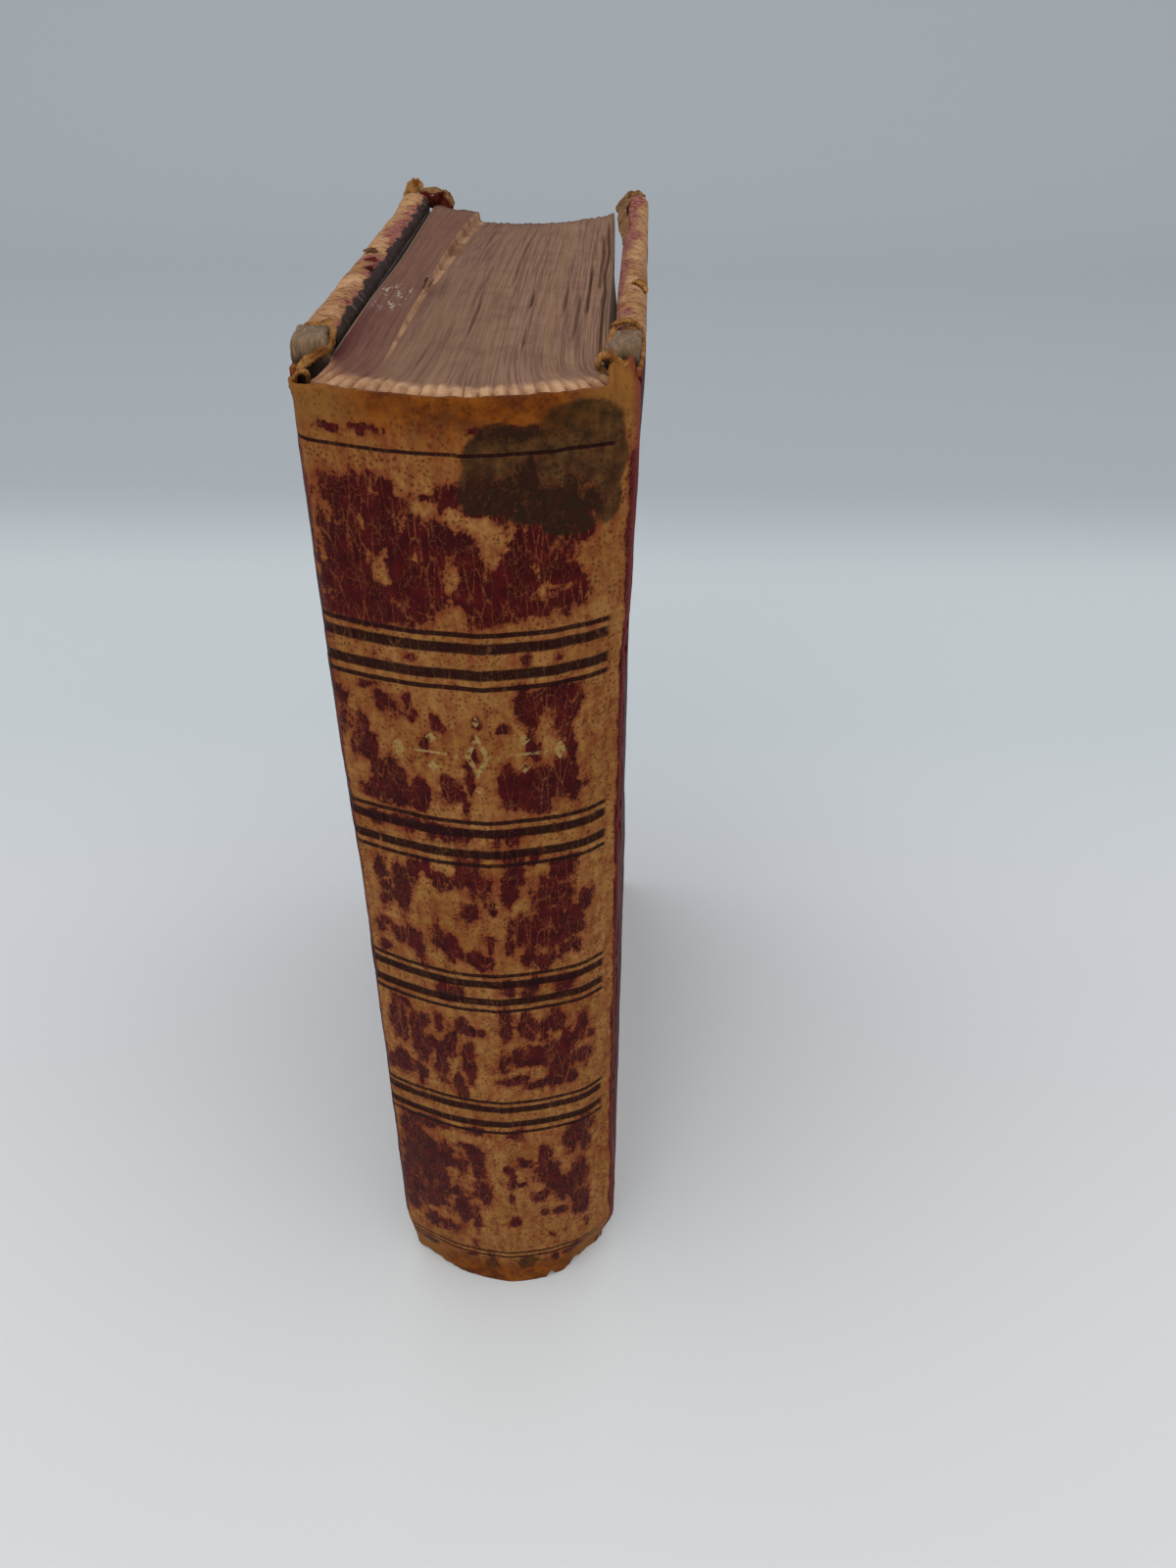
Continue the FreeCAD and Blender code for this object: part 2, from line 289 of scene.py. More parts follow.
SECOND_PANEL = (
    (10.5, 109.4, 1.6, 2.3), (9, 110, 1.2, 1.7, 0.9), (5.7, 108.2, 1.4, 2.3, 0.8),
    (7.5, 109.9, 1.4, 1.3, 0.7), (9.3, 106.1, 0.9, 1.9, 0.8), (4.7, 109.2, 0.8, 2.4, 0.8),
    (2.8, 106.4, 0.8, 0.6, 0.7), (-0.4, 107.4, 0.4, 0.8, 0.8), (-14.4, 104, 1, 1.9, 0.95),
    (-13.7, 101.7, 1.2, 2.1), (-13.2, 99.6, 0.9, 1.3), (-11.9, 108.6, 0.8, 1.4, 0.7),
    (-10.6, 108, 0.8, 1.2, 0.5), (-8.5, 108.7, 0.5, 1, 0.7), (-7.9, 107.4, 0.5, 1, 0.8),
    (-17.2, 108.3, 0.9, 1.6, 0.5), (-16.9, 104.8, 1, 1.2, 0.4), (-15.6, 101.8, 0.8, 1.6, 0.5),
    (-5.4, 106.9, 0.6, 0.9, 0.7), (-4.6, 106.4, 0.8, 0.6, 0.5), (-11.7, 97.8, 2.5, 3.2),
    (-14.4, 95.7, 1.6, 1.4, 0.8), (-10.6, 96.2, 1.8, 2.1, 0.9), (-7.8, 96.8, 1.6, 1.6, 0.8),
    (-6.7, 103.7, 0.7, 1.4, 0.6), (-8, 94.8, 1.1, 1, 0.8), (-3.9, 97.2, 1.4, 1.6, 0.95),
    (-4.1, 98.6, 0.9, 1, 0.6), (-1.5, 99.7, 0.4, 2.1, 0.6), (-0.9, 103.2, 0.5, 1.6, 0.5),
    (6.8, 98.2, 4.6, 2.9), (2.8, 98.4, 1, 2.8, 0.9), (9.5, 98.6, 2.2, 2.6), (5.4, 95.5, 3.2, 1.2, 0.9),
    (10.9, 97.3, 1.3, 1.6, 0.8), (10.4, 103.5, 0.7, 2.5, 0.8), (5.9, 103.6, 0.7, 1.6, 0.6),
    (12.6, 96.9, 0.4, 0.5, 0.8), (-10.1, 91.6, 2.8, 1.2, 0.6), (-6, 91.2, 1.9, 1.2, 0.6),
    (-3.2, 91, 1.4, 1, 0.5), (2.8, 90.8, 1.2, 1.2, 0.5), (-14.2, 91.4, 1, 1, 0.7),
    (1.2, 90.3, 0.4, 2.1, 0.5), (-2.1, 95.2, 0.4, 1.7, 0.5), (-13.2, 110.6, 0.9, 0.6, 0.5),
    (-7.5, 114.6, 0.7, 0.6, 0.7), (9.1, 115.1, 0.3, 0.7, 0.7), (5.3, 114.8, 0.5, 0.9, 0.5),
)
THIRD_PANEL = (
    (-11.8, 80.2, 1.4, 3.4), (-12.1, 83.7, 1.1, 1.5, 0.8), (-14.8, 83.4, 1, 1.8, 0.7),
    (-14.3, 79.6, 0.8, 2.1, 0.8), (-9.5, 84.8, 1.2, 2, 0.9), (-8, 85.8, 0.5, 1.7, 0.8),
    (-6.1, 83.7, 1.4, 1.8), (-3.4, 85.8, 0.9, 2.8), (-1.9, 84.7, 1.3, 3.6, 0.85),
    (-0.6, 83.3, 0.9, 2.4, 0.7), (-2.8, 79, 1.4, 1.6, 0.55), (3.2, 86.2, 1.3, 2.8),
    (2.4, 82.2, 1.2, 2.4, 0.9), (5.8, 86.8, 0.7, 1.4, 0.8), (9.3, 85.1, 1.9, 2.3), (8, 80.9, 2.7, 3.7),
    (7.4, 75.7, 3.3, 3.7), (10.6, 75.9, 1.9, 2.8), (12.3, 79.4, 1, 2.1, 0.9), (4, 76, 0.9, 3.2, 0.9),
    (10, 71.9, 1.6, 1.4, 0.7), (4.7, 71.8, 0.9, 2, 0.7), (0.3, 80.1, 0.4, 1.4, 0.8),
    (2.2, 74.2, 0.6, 2, 0.8), (2.8, 77.5, 0.5, 1, 0.7), (-0.4, 73.7, 0.7, 2), (-0.8, 70.9, 0.9, 1, 0.8),
    (-2.9, 71.6, 1.3, 1.3), (-1.6, 70.4, 0.9, 1.3, 0.8), (-5.5, 72.8, 1.2, 2.4),
    (-7.3, 74.7, 0.7, 2.5, 0.8), (-9.9, 70.2, 0.8, 2, 0.8), (-10.9, 72.7, 1.6, 2.1),
    (-12.8, 73.4, 0.8, 1.6, 0.8), (-14.9, 74.5, 1.1, 0.9, 0.6), (-15.9, 73, 0.6, 1.1, 0.8),
    (-15.3, 69.9, 1, 0.7, 0.7), (-6.6, 64.7, 1.7, 1.6, 0.7), (1.6, 66.1, 1.2, 1.3, 0.6),
    (4.7, 66, 1.3, 1.6, 0.7), (9.2, 65.7, 1.6, 1.4, 0.6), (6.8, 70.3, 1.7, 1.4, 0.6),
)
FOURTH_PANEL = (
    (-14.7, 56.7, 1.5, 4.5), (-13.6, 60.3, 1.2, 1.1, 0.7), (-12.1, 55.5, 0.9, 3.5, 0.8),
    (-10.8, 57.3, 0.8, 2.3, 0.5), (-8.2, 58.6, 0.7, 1.6, 0.9), (-3.7, 57.8, 2.2, 1.1, 0.9),
    (-5, 58.7, 1.1, 1.1, 0.8), (-6.7, 54.7, 0.9, 3.1), (-11.4, 53, 1.5, 3.1, 0.6),
    (-8.5, 50.5, 1.1, 3.9, 0.9), (-9.2, 53.5, 1.1, 1.5, 0.6), (-14.9, 47.7, 1.8, 2.3),
    (-16.8, 47.1, 1, 1.2, 0.7), (-11.9, 47.5, 0.9, 2.7, 0.7), (-4.2, 51.4, 1, 3.9, 0.9),
    (-5.8, 46, 1.1, 2.3, 0.9), (1.2, 59.1, 1, 3.1, 0.8), (4.1, 58.3, 1.3, 2.5),
    (6.6, 58.1, 0.6, 2.7, 0.7), (8.3, 59.2, 1.3, 2.3), (12, 56.8, 0.8, 2.7, 0.8),
    (10.5, 54.6, 1.4, 0.9, 0.7), (4.8, 52.6, 3.1, 1.8, 0.9), (8.8, 50.7, 2, 4.3),
    (12, 50.8, 1.4, 1.9, 0.7), (2, 52.7, 0.9, 1.9, 0.6), (0.6, 51.7, 0.7, 2, 0.5),
    (1.8, 48.2, 2.4, 0.8, 0.8), (6.1, 47.4, 2.3, 0.8, 0.7), (10.2, 46.9, 1, 1.5, 0.8),
    (9.6, 54.1, 1, 3.1, 0.9), (13.6, 54.6, 0.5, 0.7, 0.6),
)
LAST_PANEL = (
    (-14.7, 33, 1.9, 3.8, 0.9), (-13.1, 27.4, 3.9, 6.2), (-15.2, 21, 3, 4.7), (-11.9, 22.5, 2.8, 4.9),
    (-9.2, 29.3, 1.5, 3.1, 0.9), (-12.6, 18.2, 2.7, 2.8, 0.9), (-16.1, 15.1, 1.7, 2.1, 0.7),
    (-12.7, 12.3, 1.2, 1.8, 0.8), (-5.7, 32.7, 1.6, 1, 0.8), (-4.2, 30.7, 1.4, 2.4, 0.9),
    (-3.8, 22.4, 1.5, 2.7, 0.9), (-4.1, 27, 1, 2, 0.7), (-7.1, 17.8, 1.5, 3.4),
    (-7.5, 21.6, 1, 2.5, 0.9), (-4.9, 15.9, 0.8, 2.5, 0.7), (-9.6, 12.2, 1.9, 1.2, 0.4),
    (-6.5, 28.3, 0.8, 2.5, 0.6), (11.6, 35.1, 2.3, 2.4), (10, 33, 1.2, 2.2, 0.9),
    (12.5, 31.9, 0.8, 2.3, 0.6), (6.2, 30.7, 1.2, 2.5, 0.9), (6.6, 26.8, 2.1, 2.7), (9.1, 23, 2.7, 3.1),
    (11.4, 25, 1.3, 3.5, 0.8), (11.7, 18.3, 1.6, 3.8), (8.5, 17.1, 1.3, 1.4),
    (5.9, 17.6, 0.6, 0.7, 0.9), (5.2, 21.8, 1.5, 1, 0.8), (0.8, 28.5, 1.2, 1, 0.9),
    (1.1, 26.4, 0.7, 2.3, 0.8), (2.6, 25.3, 0.8, 0.8, 0.8), (3, 29.9, 1.5, 1, 0.6),
    (0.8, 21.8, 0.3, 1.2, 0.7), (1.2, 15.6, 0.9, 1.3, 0.8), (7, 11.1, 0.6, 0.7, 0.8),
    (12.7, 11.5, 0.4, 1.3, 0.6), (-5.6, 8.8, 0.6, 1.3, 0.5), (7.5, 5.3, 0.9, 1.2, 0.9),
    (10.5, 5.9, 2, 0.9, 0.8), (-15, 5.2, 2, 1, 0.8), (-6, 6.4, 1, 0.5, 0.9),
    (-4.1, 36.7, 1.6, 0.9, 0.7), (2.1, 36.4, 1.2, 0.9, 0.6), (-12.2, 36.3, 3.4, 1.2, 0.6),
)
BARE_SPOTS = (
    (-9.8, 123.8, 1.5, 1.1), (-2.4, 124.9, 0.9, 1.8), (-10.2, 133.7, 0.7, 0.8), (-9.2, 127, 0.4, 1.2),
    (-4.5, 133.7, 1.2, 0.6), (-4.7, 132, 1.6, 0.5), (-1.8, 131.5, 1.7, 0.6), (0.6, 130.6, 1.7, 0.6),
    (2.5, 129.3, 1.4, 0.7), (3.7, 128, 0.9, 0.5), (2.8, 126.4, 0.5, 0.8), (6.6, 125.2, 0.4, 0.8),
    (9.2, 123.3, 1.9, 0.5), (-1.4, 120.8, 1.2, 1), (-15.5, 129.5, 0.6, 1.8), (-16.8, 124.8, 0.6, 1.2),
    (-5.8, 127.2, 0.4, 1.4), (7.2, 122.2, 0.5, 1.2), (-11.9, 129.6, 0.4, 1.4), (-11.2, 85.6, 0.8, 1.1),
    (-6.5, 85.5, 0.8, 0.9), (-5.3, 86.1, 0.6, 0.9), (5.8, 85.2, 0.9, 0.7), (4.1, 79.8, 0.7, 1.2),
    (5, 86.6, 0.3, 1.3), (7, 85.6, 0.7, 0.9), (-8.2, 81.6, 0.4, 2.1), (-8.8, 83.7, 0.3, 1.2),
)
DARK_SPOTS = (
    (2.9, 5.1, 1.9, 1.8), (-3.2, 5.3, 1, 2.9, 0.6), (-13.9, 5, 1.8, 0.9, 0.6),
)
SPINE_STAIN = (
    (11.8, 140.1, 4.7, 2.6), (15.1, 137.1, 1.7, 4.5), (14.6, 132.6, 1.8, 3.1), (9.1, 137.2, 7.1, 3.8),
    (3.4, 139.4, 2.6, 1.6), (1.6, 137.2, 2.1, 2.7), (0.7, 134.2, 1.8, 2.6), (3.9, 134.1, 4.5, 2.8),
    (8.3, 132.3, 5.7, 2.1), (10.5, 130, 3.1, 1.2),
)
SPINE_FINISH = FIRST_PANEL + SECOND_PANEL + THIRD_PANEL + FOURTH_PANEL + LAST_PANEL


def patch_cover(patches, along, height):
    """How far each place is inside the nearest of a list of oval patches, 0 at the rim."""
    best = numpy.full(along.shape, -1.0)
    for middle, level, half_width, half_height, *strength in patches:
        reach = numpy.hypot((along - middle) / half_width, (height - level) / half_height)
        best = numpy.maximum(best, (strength[0] if strength else 1.0) * (1.0 - reach))
    return best


def lumps(along, height, seed, size):
    """Rough noise at every place of a sheet."""
    return numpy.array([rough(a, h, seed, size) for a, h in zip(along, height)])


def step(low, high, values):
    """Smooth step of an array."""
    t = numpy.clip((values - low) / (high - low), 0.0, 1.0)
    return t * t * (3 - 2 * t)


def spine_finish(along, height):
    """Coverage of the dark finish on the spine, 0.5 where it breaks up."""
    moved = along + 0.5 * lumps(along, height, 3.0, 1.6)
    raised = height + 0.9 * lumps(along, height, 9.0, 2.4)
    cover = 0.5 + numpy.clip(0.9 * patch_cover(SPINE_FINISH, moved, raised), -0.38, 0.42)
    spots = patch_cover(BARE_SPOTS, moved + 0.5 * lumps(along, height, 15.0, 0.8), raised)
    cover -= 0.45 * step(-0.5, 0.7, spots)
    wander = lumps(along, height, 40.0, 5.0)
    joint = step(16.7, 17.6, along + 0.5 * wander) * step(139.0, 133.0, height)
    rear_joint = step(17.2, 18.4, 0.5 * wander - along) * step(141.0, 133.0, height)
    return numpy.clip(numpy.maximum(cover, numpy.maximum(joint, 0.75 * rear_joint)), 0.0, 1.0)


def spine_stain(along, height):
    """Dark olive stain at the head."""
    moved = along + 0.3 * lumps(along, height, 60.0, 3.0)
    return numpy.clip(0.5 + 2.2 * patch_cover(SPINE_STAIN, moved, height), 0.0, 1.0)


def spine_dark_spots(along, height):
    """Small sooty marks near the tail."""
    moved = along + 1.1 * lumps(along, height, 80.0, 1.6)
    raised = height + 1.1 * lumps(along, height, 88.0, 1.6)
    return numpy.clip(0.5 + 1.2 * patch_cover(DARK_SPOTS, moved, raised), 0.0, 1.0)


# Spine leather


def tooling_depth(height):
    """Depth of the wide tooled lines at this height."""
    deepest = 0.0
    for middle in PAIR_HEIGHTS:
        for line in (middle - PAIR_SPACING / 2, middle + PAIR_SPACING / 2):
            pressed = ease(TOOLED_WIDTH / 2 + 0.2, TOOLED_WIDTH / 2 - 0.25, abs(height - line))
            deepest = max(deepest, pressed)
    return deepest * TOOLED_DEPTH


def spine_tail_edge(along):
    """Height of the worn lower edge of the spine leather."""
    ragged = 0.35 + 0.45 * rough(along, 0.0, 5.0, 2.2)
    notch = 1.2 * ease(0.8, 0.1, abs(along - 6.6)) + 0.8 * ease(1.4, 0.4, abs(along - 12.0))
    return max(0.0, ragged * ease(2.0, 9.0, abs(along)) + notch)


def joint_bulge(side, height):
    """How far the joint stands out from its drawn place at this height."""
    if side < 0:
        return 0.5 * ease(78.0, 102.0, height)
    return -1.0 * ease(140.0, 100.0, height) * (1 - 0.35 * ease(32.0, 15.0, height))


def tail_crush(side, y, z):
    """How far the worn tail corner at the joint is pushed across and away."""
    across, away = TAIL_CRUSH[side]
    low = ease(10.3, 0.0, z)
    return across * low * ease(17.0, 0.0, y), away * low * ease(10.0, 0.0, y)


def spine_layer_place(along, height, depth):
    """Plan point of a layer of the spine at this depth, with its worn joints and tail corners."""
    side = 1 if along >= 0 else -1
    spot, out = spine_place(along)
    point = spot - out * (depth - ease(11.0, 17.0, abs(along)) * joint_bulge(side, height))
    across, away = tail_crush(side, 0.0, height)
    weight = ease(6.0, 16.8, abs(along))
    return point.x - side * across * weight, point.y + away * weight


def joint_tongue(along):
    """Share of the leather that still stands up over the front joint."""
    return ease(14.6, 16.2, along)


def spine_head_edge(along):
    edge = SPINE_HEAD + 0.22 * rough(along, 0.0, 70.0, 3.0) - 0.3 * ease(15.0, 18.5, -along)
    return edge + (2.3 + 0.3 * rough(along, 0.0, 90.0, 1.4)) * joint_tongue(along)


def spine_leather_place(u, v):
    reach = spine_reach(COVER_START)
    along = (2 * u - 1) * (reach + SPINE_TUCK)
    low = spine_tail_edge(along)
    height = low + v * (spine_head_edge(along) - low)
    sink = tooling_depth(height)
    sink -= 0.10 * ripple(along, height, 1.0, 9.0) + 0.03 * rough(along, height, 2.0, 1.5)
    sink -= 0.25 * ease(2.2, 0.2, spine_head_edge(along) - height) * (1 - joint_tongue(along))
    sink += 0.25 * ease(reach, reach + 0.4, abs(along))
    x, y = spine_layer_place(along, height, sink)
    folded = max(0.0, height - JOINT_FOLD) * joint_tongue(along)
    shown = placed(x - 0.30 * folded, y + 0.55 * folded, height - 0.16 * folded)
    return shown, (along * MM, height * MM)


def make_spine_leather(material):
    mesh = sheet(*SPINE_GRID, spine_leather_place)
    along, height = sheet_places(mesh)
    add_mask(mesh, "finish_left", spine_finish(along, height))
    add_mask(mesh, "stain", spine_stain(along, height))
    add_mask(mesh, "soot", spine_dark_spots(along, height))
    piece = finished(mesh, "spine_leather_cover", material, "book_block")
    thicken(piece, LEATHER)
    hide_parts("spine_leather")


def make_spine_lining(material):
    """Linen under the spine leather."""
    low, high = (corner.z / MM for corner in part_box("spine_lining"))

    def place(u, v):
        along = (2 * u - 1) * LINING_HALF
        height = low + v * (high - low)
        x, y = spine_layer_place(along, height, LINING_DEPTH)
        return placed(x, y, height), (along * MM, height * MM)

    mesh = sheet(*LINING_GRID, place)
    piece = finished(mesh, "spine_lining_sheet", material, "book_block")
    thicken(piece, LINING)
    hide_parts("spine_lining")


# Leather over each cover: one sheet from the joint round the fore edge, turned in on all sides


def turned_edge(past):
    """Outward reach and depth of the sheet, this far past the start of the rounded edge."""
    if past <= 0:
        return 0.0, 0.0
    if past <= HALF_TURN:
        angle = past / EDGE_RADIUS
        return EDGE_RADIUS * math.sin(angle), EDGE_RADIUS * (1 - math.cos(angle))
    return HALF_TURN - past, 2 * EDGE_RADIUS


def rim_distance(y, z):
    """Nearest point of the flat outer face to the sheet place (y, z), the direction away from it, how
    far past its rim the place is, and how far the sheet can turn in before it meets its neighbour."""
    inner = CORNER_RADIUS - EDGE_RADIUS
    far = COVER_DEPTH - CORNER_RADIUS
    low = CORNER_RADIUS
    high = COVER_HEIGHT - CORNER_RADIUS
    if y > far and (z > high or z < low):
        corner = Vector((far, high if z > high else low))
        away = Vector((y, z)) - corner
        past = away.length - inner
        if past <= 0:
            return Vector((y, z)), Vector((0, 0)), 0.0, 0.0
        away.normalize()
        return corner + away * inner, away, past, inner
    edge_y = COVER_DEPTH - EDGE_RADIUS
    edge_z = COVER_HEIGHT - EDGE_RADIUS
    if y > edge_y:
        return Vector((edge_y, z)), Vector((1, 0)), y - edge_y, inner + min(z - low, high - z)
    if z > edge_z:
        return Vector((y, edge_z)), Vector((0, 1)), z - edge_z, inner + max(0.0, far - y)
    if z < EDGE_RADIUS:
        return Vector((y, EDGE_RADIUS)), Vector((0, -1)), EDGE_RADIUS - z, inner + max(0.0, far - y)
    return Vector((y, z)), Vector((0, 0)), 0.0, 0.0


def sheet_limit(side, y, z):
    """How far past the rim the leather still reaches here, cut short beside the joint."""
    if y < BOARD_START + 0.4:
        return 0.7 if side > 0 or z > COVER_HEIGHT / 2 else 0.1
    return SHEET_PAST


def head_swell(side, flat_y, flat_z, depth):
    """How far the leather stands off the board along the worn head edge."""
    outward, inward = HEAD_SWELL[side]
    outer_share = 1 - min(1.0, depth / (2 * EDGE_RADIUS))
    outer = outward * ease(16.0, 2.0, COVER_HEIGHT - flat_z) * ease(1.0, 8.5, flat_y)
    outer += joint_bulge(side, flat_z) * (ease(24.0, 4.0, flat_y) if side < 0 else 1.0)
    inner = inward * ease(3.5, 1.0, COVER_HEIGHT - flat_z) * ease(3.0, 9.0, flat_y)
    return outer * outer_share - inner * (1 - outer_share)


def cover_place(side):
    """Place on the sheet's grid to its point on one cover."""
    def place(u, v):
        y = COVER_START + u * (COVER_DEPTH - EDGE_RADIUS + SHEET_PAST - COVER_START)
        z = EDGE_RADIUS - SHEET_PAST + v * (COVER_HEIGHT - 2 * EDGE_RADIUS + 2 * SHEET_PAST)
        core, away, past, mitre = rim_distance(y, z)
        limit = min(sheet_limit(side, y, z), HALF_TURN + mitre)
        past = min(past, max(0.0, limit))
        reach, depth = turned_edge(past)
        sheet_place = core + away * past
        lump = 0.16 * ripple(y, z, side * 5.0, 7.0) + 0.07 * rough(y, z, side * 3.0, 1.8)
        swell = ease(14.0, 2.0, COVER_DEPTH - y) * ease(12.0, 2.0, COVER_HEIGHT - z) * 0.7
        if past > 0:
            reach += lump * ease(0.0, 1.5, past) + swell
        flat_y = core.x + away.x * reach
        flat_z = core.y + away.y * reach
        x = HALF_WIDTH - depth + (lump * 0.6 if depth < EDGE_RADIUS else -lump * 0.4)
        x += head_swell(side, flat_y, flat_z, depth)
        outer_share = 1 - min(1.0, depth / (2 * EDGE_RADIUS))
        across, back = tail_crush(side, flat_y, flat_z)
        x -= across * outer_share
        flat_y += back * outer_share
        shown_x, shown_y = opened(side, x, flat_y)
        return placed(shown_x, shown_y, max(0.0, flat_z)), sheet_place * MM

    return place


def rim_places(along, height):
    """How far past the start of the rounded edge each place is, negative on the flat face."""
    past = [rim_distance(y, z)[2] or -rim_inset(y, z) for y, z in zip(along, height)]
    return numpy.array(past)


# Dark finish left on the head edges: place along the edge, distance over the rim, half sizes, strength

EDGE_FINISH = {
    -1: ((66.0, 2.7, 8.0, 0.9), (80.0, 3.0, 8.0, 0.5), (45.0, 2.5, 2.6, 1.3, 0.9), (38.0, 3.0, 4.0, 0.6),
         (24.0, 3.0, 6.0, 0.4), (55.0, 3.1, 4.0, 0.4)),
    1: ((78.0, 3.0, 16.0, 0.9), (58.0, 3.2, 9.0, 0.7), (62.0, 2.2, 3.0, 0.8, 0.8), (40.0, 3.2, 8.0, 0.5),
        (17.0, 2.4, 2.2, 0.6, 0.8), (30.0, 3.4, 5.0, 0.5), (90.0, 2.4, 4.0, 1.2, 0.8)),
}


def cover_finish(side, along, height, past):
    """Coverage of the dark finish on a cover: whole on the face, rubbed off along the edges."""
    patches = lumps(along, height, side * 30.0, 2.2)
    worn = step(-2.4, 0.4, past + 0.8 * patches) * (1 - 0.6 * step(2.7, 3.4, past + 0.6 * patches))
    cover = 1.0 - 1.15 * worn + 0.3 * patches * worn
    left = numpy.clip(0.5 + 1.4 * patch_cover(EDGE_FINISH[side], along, past + 0.4 * patches), 0.0, 0.9)
    left = left * (height > COVER_HEIGHT / 2) * (past > 0.4)
    return numpy.clip(numpy.maximum(cover, left), 0.0, 1.0)


def turned_in(past, side, along, height):
    """Dark paper-covered part of the turn-ins."""
    ragged = past + 0.5 * lumps(along, height, side * 50.0, 3.0)
    at_head = (height > COVER_HEIGHT / 2) & (along < COVER_DEPTH - 3)
    start = numpy.where(at_head & (along > 72.0), 3.15, 3.9)
    start = numpy.where(at_head & (side < 0), 2.85, start)
    return step(-0.5, 1.3, ragged - start)


def rim_inset(y, z):
    """How far inside the rounded rim a place of the flat face is."""
    return min(COVER_DEPTH - EDGE_RADIUS - y, COVER_HEIGHT - EDGE_RADIUS - z, z - EDGE_RADIUS)


def drop_torn(mesh, side):
    """Take away the leather torn off over the board's end at the joint."""
    along, height = sheet_places(mesh)
    ragged = 0.5 * lumps(along, height, side * 9.0, 2.0)
    bare_end = 8.9 if side > 0 else 7.4
    top = COVER_HEIGHT - EDGE_RADIUS + 0.1 + 0.6 * ragged
    gone = (height > top) & (along < bare_end + ragged)
    torn = [vertex for vertex, lost in zip(list(mesh.verts), gone) if lost]
    bmesh.ops.delete(mesh, geom=torn, context="VERTS")


def drop_crushed(mesh):
    """Take away the faces that the cut-off sheet squeezed to nothing."""
    crushed = [face for face in mesh.faces if face.calc_area() < 1e-10]
    bmesh.ops.delete(mesh, geom=crushed, context="FACES")
    loose = [vertex for vertex in mesh.verts if not vertex.link_faces]
    bmesh.ops.delete(mesh, geom=loose, context="VERTS")


def make_cover_leather(side, material):
    end = END[side]
    name = f"{end}_cover_leather_sheet"
    mesh = sheet(*COVER_GRID, cover_place(side))
    drop_torn(mesh, side)
    drop_crushed(mesh)
    if side < 0:
        bmesh.ops.reverse_faces(mesh, faces=mesh.faces)
    along, height = sheet_places(mesh)
    past = rim_places(along, height)
    add_mask(mesh, "finish_left", cover_finish(side, along, height, past))
    add_mask(mesh, "edge_wear", step(-1.2, 0.6, past) * step(5.4, 4.6, past))
    add_mask(mesh, "turned_in", turned_in(past, side, along, height))
    piece = finished(mesh, name, material, None)
    thicken(piece, LEATHER)
    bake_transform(piece)
    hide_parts(f"{end}_cover_leather")


# Leaves


def fold_place(share):
    """Plan point of the fold line, from -1 at the rear shoulder to 1 at the front shoulder."""
    wave = abs(math.sin(math.pi * GATHERINGS * (share + 1) / 2))
    depth = FOLD_DEPTH + 0.35 * (1 - wave)
    reach = spine_reach(COVER_START) - 0.35
    return spine_place(share * reach, depth)[0]


def leaf_flat_x(share, way):
    """Where a leaf stands between the covers, fanned out on the loose side."""
    if share < LOOSE_SHARE:
        fanned = -BLOCK_HALF + LOOSE_WIDTH * (share + 1) / (LOOSE_SHARE + 1)
    else:
        fanned = BLOCK_HALF - (2 * BLOCK_HALF - LOOSE_WIDTH) * (1 - share) / (1 - LOOSE_SHARE)
    spread = 1.2 * ease(0.2, 1.0, share) * ease(0.0, 0.9, way)
    spread -= (0.12 + 0.7 * way) * ease(-0.6, -1.0, share)
    return share * BLOCK_HALF + (fanned - share * BLOCK_HALF) * way ** 4 + spread


# Splits between leaves: place across, start and stop from the folds to the fore edge, and strength

CRACKS = (
    (0.82, 0.28, 0.62, 1.0), (0.90, 0.40, 0.85, 0.8), (0.74, 0.15, 0.45, 0.7), (0.62, 0.30, 0.52, 0.6),
    (0.33, 0.35, 0.50, 0.9), (0.35, 0.12, 0.28, 0.5), (0.955, 0.05, 0.95, 1.0), (-0.12, 0.20, 0.46, 0.35),
    (-0.62, 0.02, 0.10, 0.9), (0.50, 0.05, 0.20, 0.4), (-0.40, 0.04, 0.22, 0.4), (0.12, 0.50, 0.9, 0.3),
)

# Pale scuffs on the leaves' head edges, as patches

SCUFFS = ((-12.6, 29.0, 2.6, 7.0), (-11.4, 34.0, 1.8, 5.0))


def crack_depth(share, way):
    """Depth of the splits between leaves."""
    deepest = 0.0
    for middle, start, stop, strength in CRACKS:
        drift = middle + 0.012 * ripple(way * 40, middle * 50, 0.0, 6.0)
        across = ease(0.016, 0.003, abs(share - drift))
        ends = ease(start, start + 0.08, way) * ease(stop, stop - 0.08, way)
        deepest = max(deepest, strength * across * ends)
    return deepest


def head_relief(share, way):
    """Unevenness of the leaves' head edges in millimetres."""
    leaf = share * BLOCK_HALF
    ridges = 0.10 * ripple(leaf, way * 3, 0.0, 0.55) + 0.07 * ripple(leaf, way * 9, 4.0, 0.25)
    swell = 0.22 * ripple(leaf, way * 12, 8.0, 4.0)
    wave = abs(math.sin(math.pi * GATHERINGS * (share + 1) / 2))
    folds = (0.75 * wave ** 0.6 - 0.55) * ease(0.04, 0.0, way)
    rounding = -0.5 * ease(0.012, 0.0, way)
    return ridges + swell + folds + rounding - 0.9 * crack_depth(share, way)


